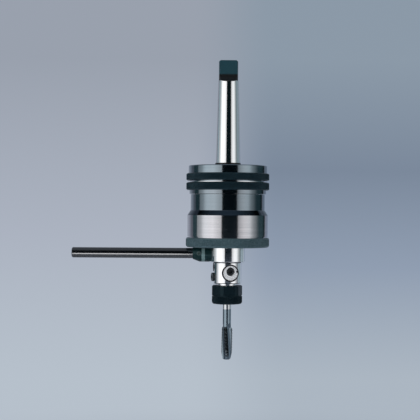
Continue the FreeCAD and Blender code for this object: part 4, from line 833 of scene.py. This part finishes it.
# The lamps: two large soft boxes, left and right of the camera. The camera side stays dark, so polished
# steel shows a dark centre line.
def area_lamp(name, width, tall, power, place, turn):
    """Rectangular lamp that the camera doesn't see. A power of 1 gives its face a brightness of 1."""
    lamp = bpy.data.lights.new(name, "AREA")
    lamp.shape = "RECTANGLE"
    lamp.size, lamp.size_y = width, tall
    lamp.energy = power * math.pi * width * tall
    holder = placed(name, lamp)
    holder.location = place
    holder.rotation_euler = turn
    holder.visible_camera = False
    return lamp


def soft_box(name, azimuth, distance, width, tall, level, stops, tone=(1.0, 1.0, 1.0)):
    """Soft box that faces the axis. Azimuths are counted from the camera, positive to the right; the
    stops give its brightness at some of them."""
    lean = math.radians(azimuth)
    lamp = area_lamp(name, width, tall, 1.0, (distance * math.sin(lean), -distance * math.cos(lean), level),
                     (math.pi / 2, 0, lean))
    lamp.use_nodes = True
    tree = lamp.node_tree
    spot = put(tree, "ShaderNodeNewGeometry", "Parametric", {})
    brightness = toned(tree, put(tree, "ShaderNodeSeparateXYZ", "X", {"Vector": spot}), [
        (0.5 + math.tan(math.radians(stop - azimuth)) * distance / width, [power * share for share in tone])
        for stop, power in stops])
    feed(tree, tree.nodes["Emission"], {"Color": brightness})


BOX_DISTANCE = 1.25
BOX_HEIGHT = 2.6
BOX_LEVEL = 0.1
soft_box("left_soft_box", -57.0, BOX_DISTANCE, 2.06, BOX_HEIGHT, BOX_LEVEL, (
    (-97, 0.32), (-88, 0.45), (-80, 0.60), (-74, 0.96), (-66, 1.18), (-50, 1.26), (-43, 1.30), (-34, 1.1),
    (-26, 0.94), (-17.5, 0.78)))
soft_box("right_soft_box", 63.0, BOX_DISTANCE, 1.77, BOX_HEIGHT, BOX_LEVEL, (
    (28.2, 0.40), (36, 0.72), (44, 0.91), (50, 0.98), (61, 0.92), (66, 0.80), (71, 0.55), (78, 0.34),
    (85, 0.22), (91, 0.10), (95, 0.03)))


# Small pale cards beside the shank and the nose give their outer edges the grey of the paper. They stop
# level with the housing, whose own edges stay dark.
CARD_TONE = (0.85, 1.0, 1.12)
CARD_DISTANCE = 0.5
UPPER_LEVEL = 0.137
LOWER_LEVEL = -0.203
soft_box("upper_right_card", 114.0, CARD_DISTANCE, 0.35, 0.24, UPPER_LEVEL, ((95, 0.22), (133, 0.22)),
         CARD_TONE)
soft_box("lower_right_card", 114.0, CARD_DISTANCE, 0.35, 0.20, LOWER_LEVEL, ((95, 0.30), (133, 0.30)),
         CARD_TONE)
soft_box("upper_left_card", -107.5, CARD_DISTANCE, 0.20, 0.24, UPPER_LEVEL, ((-118, 0.26), (-97, 0.26)),
         CARD_TONE)


# A narrow strip lamp low in front, tilted up at the stop rod, lays one bright line along the black steel
# of the rod.
STRIP_WIDTH = 0.185
STRIP_HEIGHT = 0.172
STRIP_POWER = 3.5
STRIP_PLACE = (-0.1375, -0.51, -0.33)
STRIP_TURN = (math.radians(90 + 22), 0, 0)
area_lamp("low_strip", STRIP_WIDTH, STRIP_HEIGHT, STRIP_POWER, STRIP_PLACE, STRIP_TURN)


# The room: dark in front, a little lighter to the sides and pale overhead, as polished steel mirrors it.
# The camera sees the open tone of the paper instead.
DARK_TONE = (0.002, 0.006, 0.008, 1)
SIDE_TONE = (0.038, 0.075, 0.086, 1)
CEILING_TONE = (0.22, 0.25, 0.29, 1)
SIDE_FROM, SIDE_FULL = 0.75, 0.92
CEILING_FROM, CEILING_FULL = 0.6, 0.95
world = bpy.data.worlds.new("dark_room")
bpy.context.scene.world = world
world.use_nodes = True
tree = world.node_tree
facing = put(tree, "ShaderNodeTexCoord", "Generated", {})
sideways = put(tree, "ShaderNodeSeparateXYZ", "X", {"Vector": facing})
upwards = put(tree, "ShaderNodeSeparateXYZ", "Z", {"Vector": facing})
at_side = fade(tree, worked(tree, "ABSOLUTE", sideways), SIDE_FROM, SIDE_FULL)
overhead = fade(tree, upwards, CEILING_FROM, CEILING_FULL)
room = tree.nodes["Background"]
feed(tree, room, {"Color": mixed(tree, overhead, mixed(tree, at_side, DARK_TONE, SIDE_TONE), CEILING_TONE)})
open_view = put(tree, "ShaderNodeBackground", "Background", {"Color": OPEN_TONE})
by_camera = put(tree, "ShaderNodeLightPath", "Is Camera Ray", {})
feed(tree, tree.nodes["World Output"], {
    "Surface": either(tree, by_camera, room.outputs["Background"], open_view)})


# The camera: a long lens level with the middle of the object, turned a little to match the slight lean of
# the photograph.
CAMERA_PLACE = (-0.0170, -1.1, -0.0504)
CAMERA_ROLL = math.radians(-0.4)
SENSOR_WIDTH = 36.0
FOCAL_LENGTH = 97.6
bpy.context.scene.view_settings.view_transform = "Standard"
lens = bpy.data.cameras.new("camera")
lens.sensor_width = SENSOR_WIDTH
lens.lens = FOCAL_LENGTH
camera = placed("camera", lens)
camera.location = CAMERA_PLACE
camera.rotation_euler = (math.pi / 2, CAMERA_ROLL, 0)
bpy.context.scene.camera = camera
